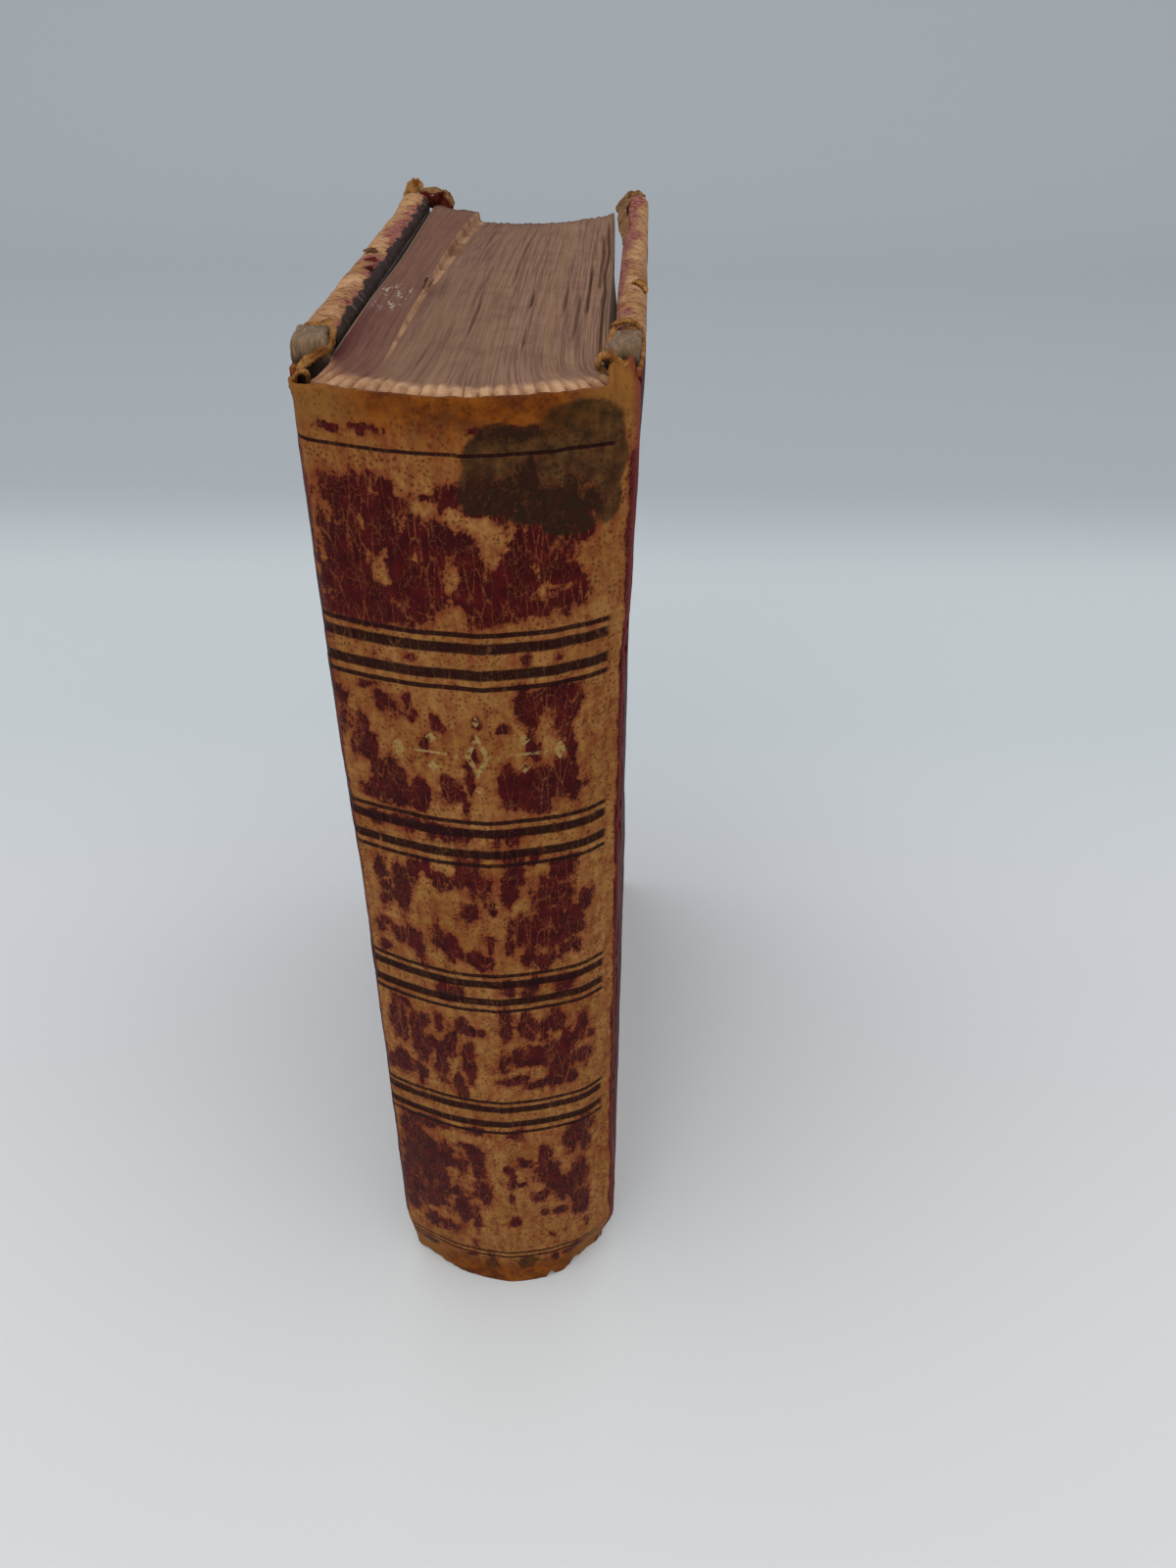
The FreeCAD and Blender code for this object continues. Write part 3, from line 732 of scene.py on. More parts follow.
def leaf_place(u, v):
    share = 2 * u - 1
    way = v ** 1.6
    fold = fold_place(share)
    flat = leaf_flat_x(share, way)
    hollow = FORE_HOLLOW * (1 - (flat / BLOCK_HALF) ** 2)
    y = fold.y + way * (FORE_Y - hollow - fold.y)
    settle = 1.8 + 9.0 * (1 - abs(share))
    bend = math.exp(-((y - fold.y) / settle) * 1.6)
    x = flat + (fold.x - flat) * bend
    drift = 0.006 * ripple(way * 60, 3.0, 0.0, 2.0)
    loose = ease(LOOSE_SHARE + 0.010, LOOSE_SHARE - 0.006, share + drift)
    lift = LOOSE_LIFT * clamp(y / FORE_Y) * loose
    lift += 1.2 * ease(-0.78, -1.0, share) * ease(0.0, 0.03, way) * ease(0.6, 0.15, way)
    z = BLOCK_HEAD + lift + head_relief(share, way)
    return placed(x, y, z), (share * BLOCK_HALF * MM, way * 0.09)


def carry_rim_places(faces, uv):
    """Give the walls under a rim the rim's own places across the leaves."""
    for face in faces:
        for loop in face.loops:
            for other in loop.vert.link_loops:
                if other.face not in faces:
                    loop[uv].uv = other[uv].uv
                    break


def lower_to_tail(points):
    """Move a copy of the head edges down to the tail; loose leaves stay as high above the rest."""
    for point in points:
        lift = LOOSE_LIFT * MM * clamp((point.co.y - SHIFT.y) / MM / FORE_Y)
        over = point.co.z - BLOCK_HEAD * MM
        raised = lift if over > 0.7 * lift and lift > 0.0003 and over > 0.0004 else 0.0
        point.co.z = BLOCK_TAIL * MM + raised
        place = (point.co - SHIFT) / MM
        side = 1 if place.x > 0 else -1
        across, away = tail_crush(side, max(0.0, place.y), BLOCK_TAIL)
        shoulder = ease(5.0, 13.0, abs(place.x))
        point.co.x -= side * across * shoulder * MM
        point.co.y += away * shoulder * MM


def close_block(mesh):
    """Add the tail side and the walls under the head side of the leaves."""
    copied = bmesh.ops.duplicate(mesh, geom=list(mesh.faces))["geom"]
    lower_to_tail([item for item in copied if isinstance(item, bmesh.types.BMVert)])
    tail_faces = [item for item in copied if isinstance(item, bmesh.types.BMFace)]
    bmesh.ops.reverse_faces(mesh, faces=tail_faces)
    rims = [edge for edge in mesh.edges if edge.is_boundary]
    walls = bmesh.ops.bridge_loops(mesh, edges=rims)
    block_height = (BLOCK_HEAD - BLOCK_TAIL) * MM
    edges = {edge for face in walls["faces"] for edge in face.edges}
    upright = [edge for edge in edges if edge.calc_length() > block_height / 2]
    carry_rim_places(walls["faces"], mesh.loops.layers.uv.active)
    bmesh.ops.subdivide_edges(mesh, edges=upright, cuts=6, use_grid_fill=True)


def add_leaf_masks(mesh):
    """Pale scuffs on the loose gatherings, and the torn strip of the block beside them."""
    leaf, depth = sheet_places(mesh)
    scuffed = patch_cover(SCUFFS, leaf, depth)
    add_mask(mesh, "scuffed", numpy.clip(0.5 + scuffed, 0.0, 1.0))
    edge = LOOSE_SHARE * BLOCK_HALF
    broad = 0.12 + 0.8 * step(34.0, 60.0, depth)
    torn = step(0.0, 0.15, leaf - edge + 0.25) * step(broad + 0.25, broad, leaf - edge)
    add_mask(mesh, "torn_side", torn * step(4.0, 16.0, depth))


def make_text_block(material):
    mesh = sheet(*LEAVES_GRID, leaf_place)
    close_block(mesh)
    add_leaf_masks(mesh)
    piece = finished(mesh, "text_block_leaves", material, "book_block")
    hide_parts("text_block")


def make_flyleaf(side, material):
    """Thin leaf that leans over with the leaves beside it."""
    def place(u, v):
        y = FLYLEAF_START + u * (FORE_Y - FLYLEAF_START)
        bow = 0.12 * ripple(y, v * 30, side * 2.0, 20.0)
        rise = 0.4 if side > 0 else 1.1 * ease(60.0, 15.0, y) + LOOSE_LIFT * u
        height = BLOCK_TAIL + v * (BLOCK_HEAD - BLOCK_TAIL) + rise * ease(0.5, 1.0, v)
        x = leaf_flat_x(side, u) + side * (0.14 + 0.5 * bow)
        if side > 0:
            gap = COVER_INNER + y * math.sin(math.radians(FRONT_SPLAY)) - x
            x += max(0.0, gap) * ease(144.0, 139.0, height) * ease(62.0, 40.0, y)
        return placed(x, y, height), (y * MM, height * MM)

    end = END[side]
    mesh = sheet(*FLYLEAF_GRID, place)
    piece = finished(mesh, f"{end}_flyleaf_sheet", material, "book_block")
    thicken(piece, FLYLEAF, 0.0)
    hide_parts(f"{end}_flyleaf")


# Board ends laid bare: inner and outer face at the near end and at the far end, top and length

BARE_ENDS = {
    -1: {"near": (13.9, 17.9), "far": (15.2, 18.4), "top": 146.5, "length": 7.6},
    1: {"near": (13.3, 17.0), "far": (14.5, 17.2), "top": 146.1, "length": 8.0},
}


def rounded_cube(cuts, power):
    """Cube of size 2 with rounded edges and corners."""
    mesh = bmesh.new()
    bmesh.ops.create_cube(mesh, size=2.0)
    bmesh.ops.subdivide_edges(mesh, edges=mesh.edges, cuts=cuts, use_grid_fill=True)
    for vertex in mesh.verts:
        spread = sum(abs(part) ** power for part in vertex.co) ** (1 / power)
        vertex.co /= spread
    return mesh


def make_bare_board_end(side, material):
    """Swollen, frayed end of the board where its leather is torn away."""
    end = END[side]
    sizes = BARE_ENDS[side]
    mesh = rounded_cube(22, 13.0)
    inner, outer = BOARD_NECK
    for vertex in mesh.verts:
        across, along, up = vertex.co
        z = BARE_FOOT + (up + 1) / 2 * (sizes["top"] - BARE_FOOT)
        way = (along + 1) / 2
        y = BOARD_START - 0.2 + way * sizes["length"]
        low = sizes["near"][0] + (sizes["far"][0] - sizes["near"][0]) * way
        high = sizes["near"][1] + (sizes["far"][1] - sizes["near"][1]) * way
        swollen = ease(139.5, 144.2, z)
        low = inner + (low - inner) * swollen
        high = outer + (high - outer) * swollen
        x = (low + high) / 2 + across * (high - low) / 2
        frayed = 0.16 * rough(x * 2.5, y, z, 1.6)
        x, y = opened(side, x + frayed, y + frayed)
        dip = 1.2 * ease(0.8, 1.0, way) * swollen
        vertex.co = placed(x, y, z - dip + 0.2 * rough(x, y, z + side * 20, 1.9))
    bmesh.ops.recalc_face_normals(mesh, faces=mesh.faces)
    finished(mesh, f"{end}_bare_board_end", material, f"{end}_cover")


def make_board(side, material):
    """Pasteboard under the leather, pushed in like the leather over it."""
    end = END[side]
    mesh = rounded_cube(44, 40.0)
    for vertex in mesh.verts:
        outer, along, up = ((part + 1) / 2 for part in vertex.co)
        y = BOARD_START + along * (COVER_DEPTH - BOARD_MARGIN - BOARD_START)
        z = BOARD_MARGIN + up * (COVER_HEIGHT - 2 * BOARD_MARGIN)
        across, away = tail_crush(side, y, z)
        pushed = across - joint_bulge(1, z) * (side > 0)
        x, y = opened(side, BOARD_INNER + outer * max(LEAST_BOARD, BOARD - pushed), y + away)
        vertex.co = placed(x, y, z)
    bmesh.ops.recalc_face_normals(mesh, faces=mesh.faces)
    piece = finished(mesh, f"{end}_board_worn", material, f"{end}_cover")
    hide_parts(f"{end}_board")


# Torn strips as stations of centre (x, y, z) and half width (x, y, z)

REAR_LIP = (
    (-15.6, 9, 146.4, 0.5, 0.2, 0.1), (-14.9, 7.6, 146.3, 0.4, 0.1, 0.3),
    (-14.3, 5.6, 146.1, 0.2, 0, 0.5), (-14, 3.4, 145.9, 0.1, 0, 0.55),
    (-14.1, 1.9, 145.6, 0.15, 0.1, 0.55), (-14.8, 0.9, 145.3, 0.1, 0.2, 0.5),
    (-15.8, 0.3, 144.8, 0, 0.3, 0.5), (-16.7, -0.1, 144.2, 0.1, 0.3, 0.5),
    (-17.3, -0.6, 143.5, 0.3, 0.3, 0.5), (-17.3, -1.3, 142.8, 0.4, 0.3, 0.4),
)
REAR_JOINT_CURL = (
    (-17.2, -1.4, 142.8, 0, 0.3, 0.3), (-17, -1.6, 143.7, 0.1, 0.4, 0.1),
    (-16.3, -1.5, 144.1, 0, 0.5, 0), (-15.8, -1.2, 143.8, -0.1, 0.4, 0.1),
    (-15.9, -0.9, 143.1, 0, 0.3, 0.2),
)
REAR_CRACK_LIP = (
    (-18.1, 6.6, 145.8, 0, 0.4, 0.1), (-17.3, 7.3, 146.3, 0, 0.5, 0.1),
    (-16.3, 7.2, 146.45, 0, 0.4, 0.1), (-15.4, 7.4, 146.35, 0, 0.4, 0), (-14.9, 7.8, 146.1, 0.1, 0.4, 0),
)
REAR_FLAKE = (
    (-19.9, 96.4, 145.9, 0.1, 0.2, 0.4), (-19.3, 97, 146.9, 0.1, 0.3, 1),
    (-18.6, 97.2, 147.1, 0, 0.3, 1), (-17.8, 97.4, 147.3, 0, 0.3, 1), (-17.2, 97.2, 147.6, 0, 0.3, 0.5),
    (-16.8, 96.8, 146.8, 0, 0.2, 0.8),
)
REAR_CORNER_RIM = (
    (-17.4, 96.8, 146.5, 0, 0.5, 0.3), (-16, 96.2, 146.7, 0, 0.6, 0.3),
    (-14.4, 95.4, 146.8, 0, 0.7, 0.3), (-12.9, 94.9, 146.5, 0.1, 0.6, 0.3),
    (-12, 94.7, 145.7, 0.3, 0.4, 0.3), (-11.6, 94.6, 144.9, 0.2, 0.2, 0.2),
)
REAR_CORNER_FLAP = (
    (-17.3, 96.3, 145.2, 0, -0.6, 1.4), (-15.9, 95.6, 145.3, 0, -0.7, 1.4),
    (-14.4, 94.9, 145.3, 0, -0.5, 1.4), (-13, 94.6, 145.1, 0, -0.2, 1.4), (-12.1, 94.6, 144.7, 0, 0, 1),
    (-11.7, 94.6, 144.3, 0, 0, 0.6),
)
REAR_EDGE_FLAKES = (
    ((-18.7, 50.4, 145.8, 0.1, 0.5, 0), (-18.2, 50, 146, 0.3, 0.7, 0), (-17.5, 49.4, 146, 0.3, 0.7, 0),
     (-16.8, 48.8, 145.8, 0.1, 0.4, 0)),
    ((-17.4, 44, 145.9, 0.2, 0.4, 0), (-16.8, 43.6, 146.05, 0.4, 0.7, 0),
     (-16.2, 43.2, 145.8, 0.2, 0.5, 0)),
    ((-16.6, 39, 145.9, 0.2, 0.4, 0), (-16.1, 38.6, 145.95, 0.3, 0.6, 0),
     (-15.8, 38.2, 145.7, 0.1, 0.4, 0)),
)
FRONT_CURL = (
    (13.6, 0.1, 143.9, 0, 0.4, 0.1), (12.9, 0, 144.4, 0, 0.5, 0), (12.9, -0.1, 145.1, 0, 0.6, 0),
    (13.6, -0.2, 145.6, 0, 0.7, 0.1), (14.4, -0.3, 145.4, 0, 0.7, 0.1), (15.1, -0.3, 144.8, 0, 0.6, 0),
    (15.2, -0.4, 144, 0, 0.5, 0),
)
FRONT_JOINT_STRIPS = (
    ((14.7, -0.7, 144.8, 0.25, 0, 0), (14.4, -0.9, 144, 0.3, 0.1, 0), (14.5, -1.1, 143.2, 0.25, 0, 0),
     (14.9, -1.3, 142.5, 0.2, 0, 0)),
    ((15.6, -0.9, 144.9, 0.3, 0.1, 0.2), (15.1, -1.2, 144.1, 0.3, 0, 0.1),
     (15.2, -1.5, 143.2, 0.3, 0, 0)),
)
FRONT_GAP_LIPS = (
    ((14.3, 9.7, 145.9, 0.1, 0.4, 0.1), (14.9, 9.8, 146.3, 0.1, 0.5, 0.1), (15.8, 9.4, 146.5, 0, 0.5, 0),
     (16.7, 9.8, 146.3, 0, 0.4, 0), (17.4, 9.6, 145.8, 0.1, 0.3, 0.1)),
    ((14.4, 9.6, 145.9, 0.3, 0.2, 0.3), (14.2, 6.5, 145.6, 0.3, 0, 0.4), (13.8, 3.9, 145.5, 0.3, 0, 0.4),
     (13.6, 2.2, 145.2, 0.25, 0, 0.4), (13.6, 1.3, 144.9, 0.2, 0.1, 0.3)),
    ((17.5, 9.6, 145.2, 0.1, 0, 0.4), (17.4, 6.5, 144.6, 0.1, 0, 0.4), (17.3, 3.6, 144.4, 0.1, 0, 0.4),
     (17.1, 1, 144.1, 0.1, 0, 0.4)),
)
FRONT_TURNED_CORNER = (
    (16.3, 60, 144.9, 0.2, 0, 0.3), (16.3, 70, 145.1, 0.6, 0, 0.5), (16.2, 79, 145.3, 0.8, 0, 0.6),
    (16.3, 87, 145.5, 1, 0, 0.7), (16.5, 93, 145.7, 1.1, 0.1, 0.7), (16.8, 96, 146, 0.7, 0.4, 0.7),
    (17.9, 96.6, 146.1, 0.3, 0.6, 0.6), (19.2, 96.6, 146.1, 0, 0.6, 0.6), (20, 96.1, 145.7, 0, 0.4, 0.5),
)
FRONT_SIDE_FLAKE = (
    (17, 30.2, 146.2, 0.3, 0.5, 0), (17.6, 29.4, 146.4, 0.3, 0.7, 0.1), (18.2, 28.6, 146, 0.2, 0.7, 0),
    (18.4, 27.8, 145.5, 0.1, 0.4, 0),
)
LEAF_CURL = (
    (-9.2, 37, 144, 0.1, 0.3, 0), (-8.8, 36.8, 144.9, 0.1, 0.5, 0), (-8.3, 35.9, 145.5, 0.2, 0.4, 0),
    (-7.9, 34.8, 145.2, 0.2, 0.3, 0), (-8.2, 34.2, 144.6, 0.1, 0.2, 0),
)


def torn_strip(name, stations, thickness, material, body):
    """Ragged strip along its stations; on "joint:COVER" it is left unattached, with its transform baked.
    """
    def place(u, v):
        x, y, z, *half = along_path(stations, u)
        lean = (2 * v - 1) * (1 + 0.35 * ripple(u * 10, v, len(name), 1.3))
        fray = 0.17 * rough(u * 20, v * 4, len(name), 1.2)
        x += lean * half[0] + fray
        y += lean * half[1] - fray
        z += lean * half[2] + fray
        return placed(x, y, z), (u, v)

    mesh = sheet(12 * len(stations), 6, place)
    over_joint = body.startswith("joint:")
    piece = finished(mesh, name, material, None if over_joint else body)
    thicken(piece, thickness, 0.0)
    soft = piece.modifiers.new("soft", "SUBSURF")
    soft.levels = 1
    soft.render_levels = 1
    if over_joint:
        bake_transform(piece)


def make_torn_leather(torn, finish, dark, paper):
    torn_strip("rear_torn_lip", REAR_LIP, 0.6, torn, "joint:rear_cover")
    torn_strip("rear_joint_curl", REAR_JOINT_CURL, 0.4, torn, "book_block")
    torn_strip("rear_crack_lip", REAR_CRACK_LIP, 0.45, torn, "rear_cover")
    torn_strip("rear_corner_flake", REAR_FLAKE, 0.4, torn, "rear_cover")
    torn_strip("rear_corner_rim", REAR_CORNER_RIM, 0.5, dark, "rear_cover")
    torn_strip("rear_corner_flap", REAR_CORNER_FLAP, 0.4, finish, "rear_cover")
    for number, stations in enumerate(REAR_EDGE_FLAKES):
        torn_strip(f"rear_edge_flake_{number}", stations, 0.25, finish if number else dark, "rear_cover")
    torn_strip("front_torn_curl", FRONT_CURL, 0.5, torn, "book_block")
    for number, stations in enumerate(FRONT_JOINT_STRIPS):
        torn_strip(f"front_joint_strip_{number}", stations, 0.35, torn, "book_block")
    for number, stations in enumerate(FRONT_GAP_LIPS):
        torn_strip(f"front_gap_lip_{number}", stations, 0.45, torn, "front_cover")
    torn_strip("front_turned_corner", FRONT_TURNED_CORNER, 0.45, dark, "front_cover")
    torn_strip("front_side_flake", FRONT_SIDE_FLAKE, 0.35, torn, "front_cover")
    torn_strip("leaf_curl", LEAF_CURL, 0.2, paper, "book_block")


# Materials


# Specular level of old leather and paper

MATT = 0.07


def colour(written):
    """Written sRGB colour as the linear values that a shader takes; anything else stays as it is."""
    if isinstance(written, tuple) and len(written) == 3:
        return (*((part / 255) ** 2.2 for part in written), 1.0)
    return written


def math_call(operation):
    """Method of a net that adds one kind of math node."""
    def call(net, *values):
        return net.put("ShaderNodeMath", dict(enumerate(values)), operation=operation).outputs[0]

    return call


class Net:
    """Node tree of a material or a group, with a short call for each kind of node."""

    times = math_call("MULTIPLY")
    plus = math_call("ADD")
    minus = math_call("SUBTRACT")
    over = math_call("DIVIDE")
    times_plus = math_call("MULTIPLY_ADD")
    larger = math_call("MAXIMUM")
    absolute = math_call("ABSOLUTE")
    sine = math_call("SINE")

    def __init__(self, owner, tree):
        self.owner = owner
        self.tree = tree

    def feed(self, socket, value):
        """Link a node's output to a socket, or set the socket to a value."""
        if isinstance(value, bpy.types.NodeSocket):
            self.tree.links.new(value, socket)
        else:
            socket.default_value = value

    def put(self, kind, inputs=None, **settings):
        """Add a node, set it up, and feed its inputs."""
        made = self.tree.nodes.new(kind)
        for name, value in settings.items():
            setattr(made, name, value)
        for name, value in (inputs or {}).items():
            self.feed(made.inputs[name], value)
        return made

    def use(self, group, inputs):
        return self.put("ShaderNodeGroup", inputs, node_tree=group).outputs

    def ramp(self, value, low, high, out_low=0.0, out_high=1.0):
        """Smooth map of a value from one range to another."""
        inputs = {"Value": value, "From Min": low, "From Max": high, "To Min": out_low, "To Max": out_high}
        return self.put("ShaderNodeMapRange", inputs, interpolation_type="SMOOTHSTEP").outputs[0]

    def mix(self, factor, first, second):
        """Blend of two colours, each written as sRGB numbers or taken from a node."""
        inputs = {0: factor, 6: colour(first), 7: colour(second)}
        return self.put("ShaderNodeMix", inputs, data_type="RGBA").outputs[2]

    def tint(self, base, value, low, high, most, shade):
        """Lay a colour over a base where the value goes from low to high, at most this strongly."""
        return self.mix(self.ramp(value, low, high, 0.0, most), base, shade)

    def noise(self, vector, scale, detail=3.0, roughness=0.55, distortion=0.0):
        inputs = {"Vector": vector, "Scale": scale, "Detail": detail, "Roughness": roughness,
                  "Distortion": distortion}
        return self.put("ShaderNodeTexNoise", inputs).outputs["Fac"]

    def cells(self, vector, scale, feature):
        inputs = {"Vector": vector, "Scale": scale}
        return self.put("ShaderNodeTexVoronoi", inputs, feature=feature).outputs["Distance"]

    def stretched(self, vector, scale):
        return self.put("ShaderNodeMapping", {"Vector": vector, "Scale": scale}).outputs[0]

    def split(self, vector):
        return self.put("ShaderNodeSeparateXYZ", {0: vector}).outputs

    def attribute(self, name):
        return self.put("ShaderNodeAttribute", attribute_name=name).outputs["Fac"]

    def space(self):
        return self.put("ShaderNodeTexCoord").outputs["Object"]

    def unrolled(self):
        return self.put("ShaderNodeUVMap", uv_map="UVMap").outputs[0]

    def give(self, values):
        """Feed the outputs of a group and hand the group over."""
        leave = self.tree.nodes.new("NodeGroupOutput")
        for name, value in values.items():
            self.feed(leave.inputs[name], value)
        return self.owner

    def finish(self, surface, roughness, bump=None, specular=0.5, metallic=0.0):
        """Feed a material's shader and hand the material over; bump is (height, strength, distance)."""
        shader = self.tree.nodes["Principled BSDF"].inputs
        values = {"Base Color": surface, "Roughness": roughness, "Specular IOR Level": specular,
                  "Metallic": metallic}
        if bump:
            inputs = dict(zip(("Height", "Strength", "Distance"), bump))
            values["Normal"] = self.put("ShaderNodeBump", inputs).outputs[0]
        for name, value in values.items():
            self.feed(shader[name], value)
        return self.owner


def new_material(name):
    material = bpy.data.materials.new(name)
    material.use_nodes = True
    return Net(material, material.node_tree)


def new_group(name, inputs, outputs):
    """Shader node group with named sockets; inputs map a name to a number, or to None for a vector."""
    group = bpy.data.node_groups.new(name, "ShaderNodeTree")
    for label, value in inputs.items():
        kind = "NodeSocketVector" if value is None else "NodeSocketFloat"
        socket = group.interface.new_socket(label, in_out="INPUT", socket_type=kind)
        if value is not None:
            socket.default_value = value
    for label in outputs:
        group.interface.new_socket(label, in_out="OUTPUT", socket_type="NodeSocketFloat")
    net = Net(group, group)
    return net, net.put("NodeGroupInput").outputs


def leather_grain_group():
    """Pebbled grain and small pores, as a height, with a mask of the pores."""
    inputs = {"Vector": None, "Pebbles": 1400.0, "Pores": 1900.0}
    net, given = new_group("leather_grain", inputs, ("Height", "Pore mask"))
    drift = net.put("ShaderNodeTexNoise", {"Vector": given["Vector"], "Scale": 900.0}).outputs["Color"]
    drift = net.put("ShaderNodeVectorMath", {0: drift, "Scale": 0.0006}, operation="SCALE").outputs[0]
    bent = net.put("ShaderNodeVectorMath", {0: given["Vector"], 1: drift}, operation="ADD").outputs[0]
    pebbles = net.cells(bent, given["Pebbles"], "SMOOTH_F1")
    pores = net.cells(bent, given["Pores"], "F1")
    clump = net.noise(given["Vector"], 420.0, 4.0)
    pore_mask = net.times(net.ramp(pores, 0.40, 0.20), net.ramp(clump, 0.38, 0.56))
    height = net.minus(net.times(pebbles, -0.6), pore_mask)
    return net.give({"Height": height, "Pore mask": pore_mask})


def upright_cracks(net, vector, stretch, scale, gate_scale):
    """Thin cracks that run up the spine, open only here and there."""
    upright = net.stretched(vector, (1.0, stretch, 1.0))
    edge = net.cells(upright, scale, "DISTANCE_TO_EDGE")
    gate = net.noise(net.stretched(vector, (1.0, 0.5, 1.0)), gate_scale, 3.0)
    broken = net.ramp(net.noise(vector, 2400.0, 3.0, 0.7), 0.36, 0.56)
    thin = net.times(net.ramp(edge, 0.075, 0.015), broken)
    return net.times(thin, net.ramp(gate, 0.42, 0.56))


def flaked_finish_group():
    """Breaks a coverage value up into flakes with thin upright cracks, and finds their fringe."""
    inputs = {"Vector": None, "Coverage": 0.5, "Crack strength": 0.9}
    net, given = new_group("flaked_finish", inputs, ("Mask", "Fringe", "Cracks"))
    flakes = net.noise(given["Vector"], 620.0, 6.0, 0.66, 0.2)
    streaks = net.noise(net.stretched(given["Vector"], (1.0, 0.3, 1.0)), 900.0, 4.0, 0.6)
    level = net.plus(given["Coverage"], net.times_plus(flakes, 1.2, -0.6))
    level = net.plus(level, net.times_plus(streaks, 1.2, -0.6))
    long_cracks = upright_cracks(net, given["Vector"], 0.2, 1000.0, 300.0)
    short_cracks = upright_cracks(net, given["Vector"], 0.42, 2100.0, 500.0)
    cracks = net.larger(long_cracks, net.times(short_cracks, 0.7))
    cracks = net.times(cracks, given["Crack strength"])
    grit = net.noise(given["Vector"], 2600.0, 3.0, 0.7)
    level = net.plus(level, net.times_plus(grit, 0.7, -0.35))
    whole = net.times(net.ramp(level, 0.42, 0.58), net.minus(1.0, cracks))
    return net.give({"Mask": whole, "Fringe": net.ramp(level, -0.12, 0.46), "Cracks": cracks})


def tooled_line_group():
    """Line across the spine at a height, with slightly wandering edges."""
    inputs = {"Height": 0.0, "Wobble": 0.0, "Place": 0.0, "Half width": 0.0005}
    net, given = new_group("tooled_line", inputs, ("Mask",))
    off = net.minus(given["Height"], given["Place"])
    off = net.absolute(net.plus(off, given["Wobble"]))
    inner = net.times(given["Half width"], 0.85)
    outer = net.times(given["Half width"], 1.3)
    return net.give({"Mask": net.ramp(off, outer, inner)})


def wear_group():
    """Uneven wear: broad and fine noise laid over a mask."""
    inputs = {"Vector": None, "Mask": 0.0, "Scale": 500.0, "Spread": 0.8}
    net, given = new_group("uneven_wear", inputs, ("Wear",))
    grit = net.noise(given["Vector"], given["Scale"], 5.0, 0.65)
    grit = net.times(net.minus(grit, 0.5), given["Spread"])
    return net.give({"Wear": net.ramp(net.plus(given["Mask"], grit), 0.40, 0.62)})


GRAIN = leather_grain_group()
FLAKES = flaked_finish_group()
TOOLED = tooled_line_group()
WEAR = wear_group()

# Tooled lines as (height, half width)

FAINT_HALF = 0.17
FINE_HALF = 0.27
WIDE_HALF = 0.6
SPINE_LINES = (
    (137.8, FAINT_HALF), (6.6, FAINT_HALF), (7.7, FAINT_HALF),
    (118.2, FINE_HALF), (116.55, WIDE_HALF), (113.3, WIDE_HALF), (111.6, FINE_HALF),
    (93.3, FINE_HALF), (91.65, WIDE_HALF), (88.45, WIDE_HALF), (86.8, FINE_HALF),
    (68.4, FINE_HALF), (66.8, WIDE_HALF), (63.55, WIDE_HALF), (61.9, FINE_HALF),
    (43.5, FINE_HALF), (41.9, WIDE_HALF), (38.7, WIDE_HALF), (37.0, FINE_HALF),
)


def tooling_mask(net, sheet_place, across, cracks):
    """All tooled lines of the spine, worn thin in places and stopping short of the joints."""
    height = net.split(sheet_place)["Y"]
    upright = net.stretched(sheet_place, (1.0, 0.05, 1.0))
    wobble = net.times_plus(net.noise(upright, 130.0, 3.0), 0.0007, -0.00035)
    mask = 0.0
    for place, half in SPINE_LINES:
        inputs = {"Height": height, "Wobble": wobble, "Place": place * MM, "Half width": half * MM}
        mask = net.larger(net.use(TOOLED, inputs)["Mask"], mask)
    ends = net.times(net.ramp(across, 0.0158, 0.0150), net.ramp(across, -0.0190, -0.0182))
    worn = net.noise(net.stretched(sheet_place, (1.0, 0.10, 1.0)), 1100.0, 4.0, 0.6)
    mask = net.times(net.times(mask, ends), net.ramp(worn, 0.24, 0.34))
    return net.times(mask, net.times_plus(cracks, -0.3, 1.0))


# Worn gilt ornament: lozenges as (side offset, height offset, half width, half height), and one rule
# as (start, stop, half height)

ORNAMENT_PLACE = (-0.5, 102.8)
LOZENGES = (
    (0.0, 0.0, 1.5, 3.0), (9.6, 0.0, 0.9, 1.3), (5.4, 1.9, 0.7, 0.8), (5.4, -1.9, 0.7, 0.8),
    (0.0, 4.6, 0.5, 0.7), (0.0, -4.6, 0.5, 0.7), (2.6, 0.0, 0.5, 0.6),
)
LOZENGE_HOLE = (0.0, 0.0, 0.8, 1.9)
RULE = (3.6, 8.2, 0.24)
RULE_FADE = 0.0001


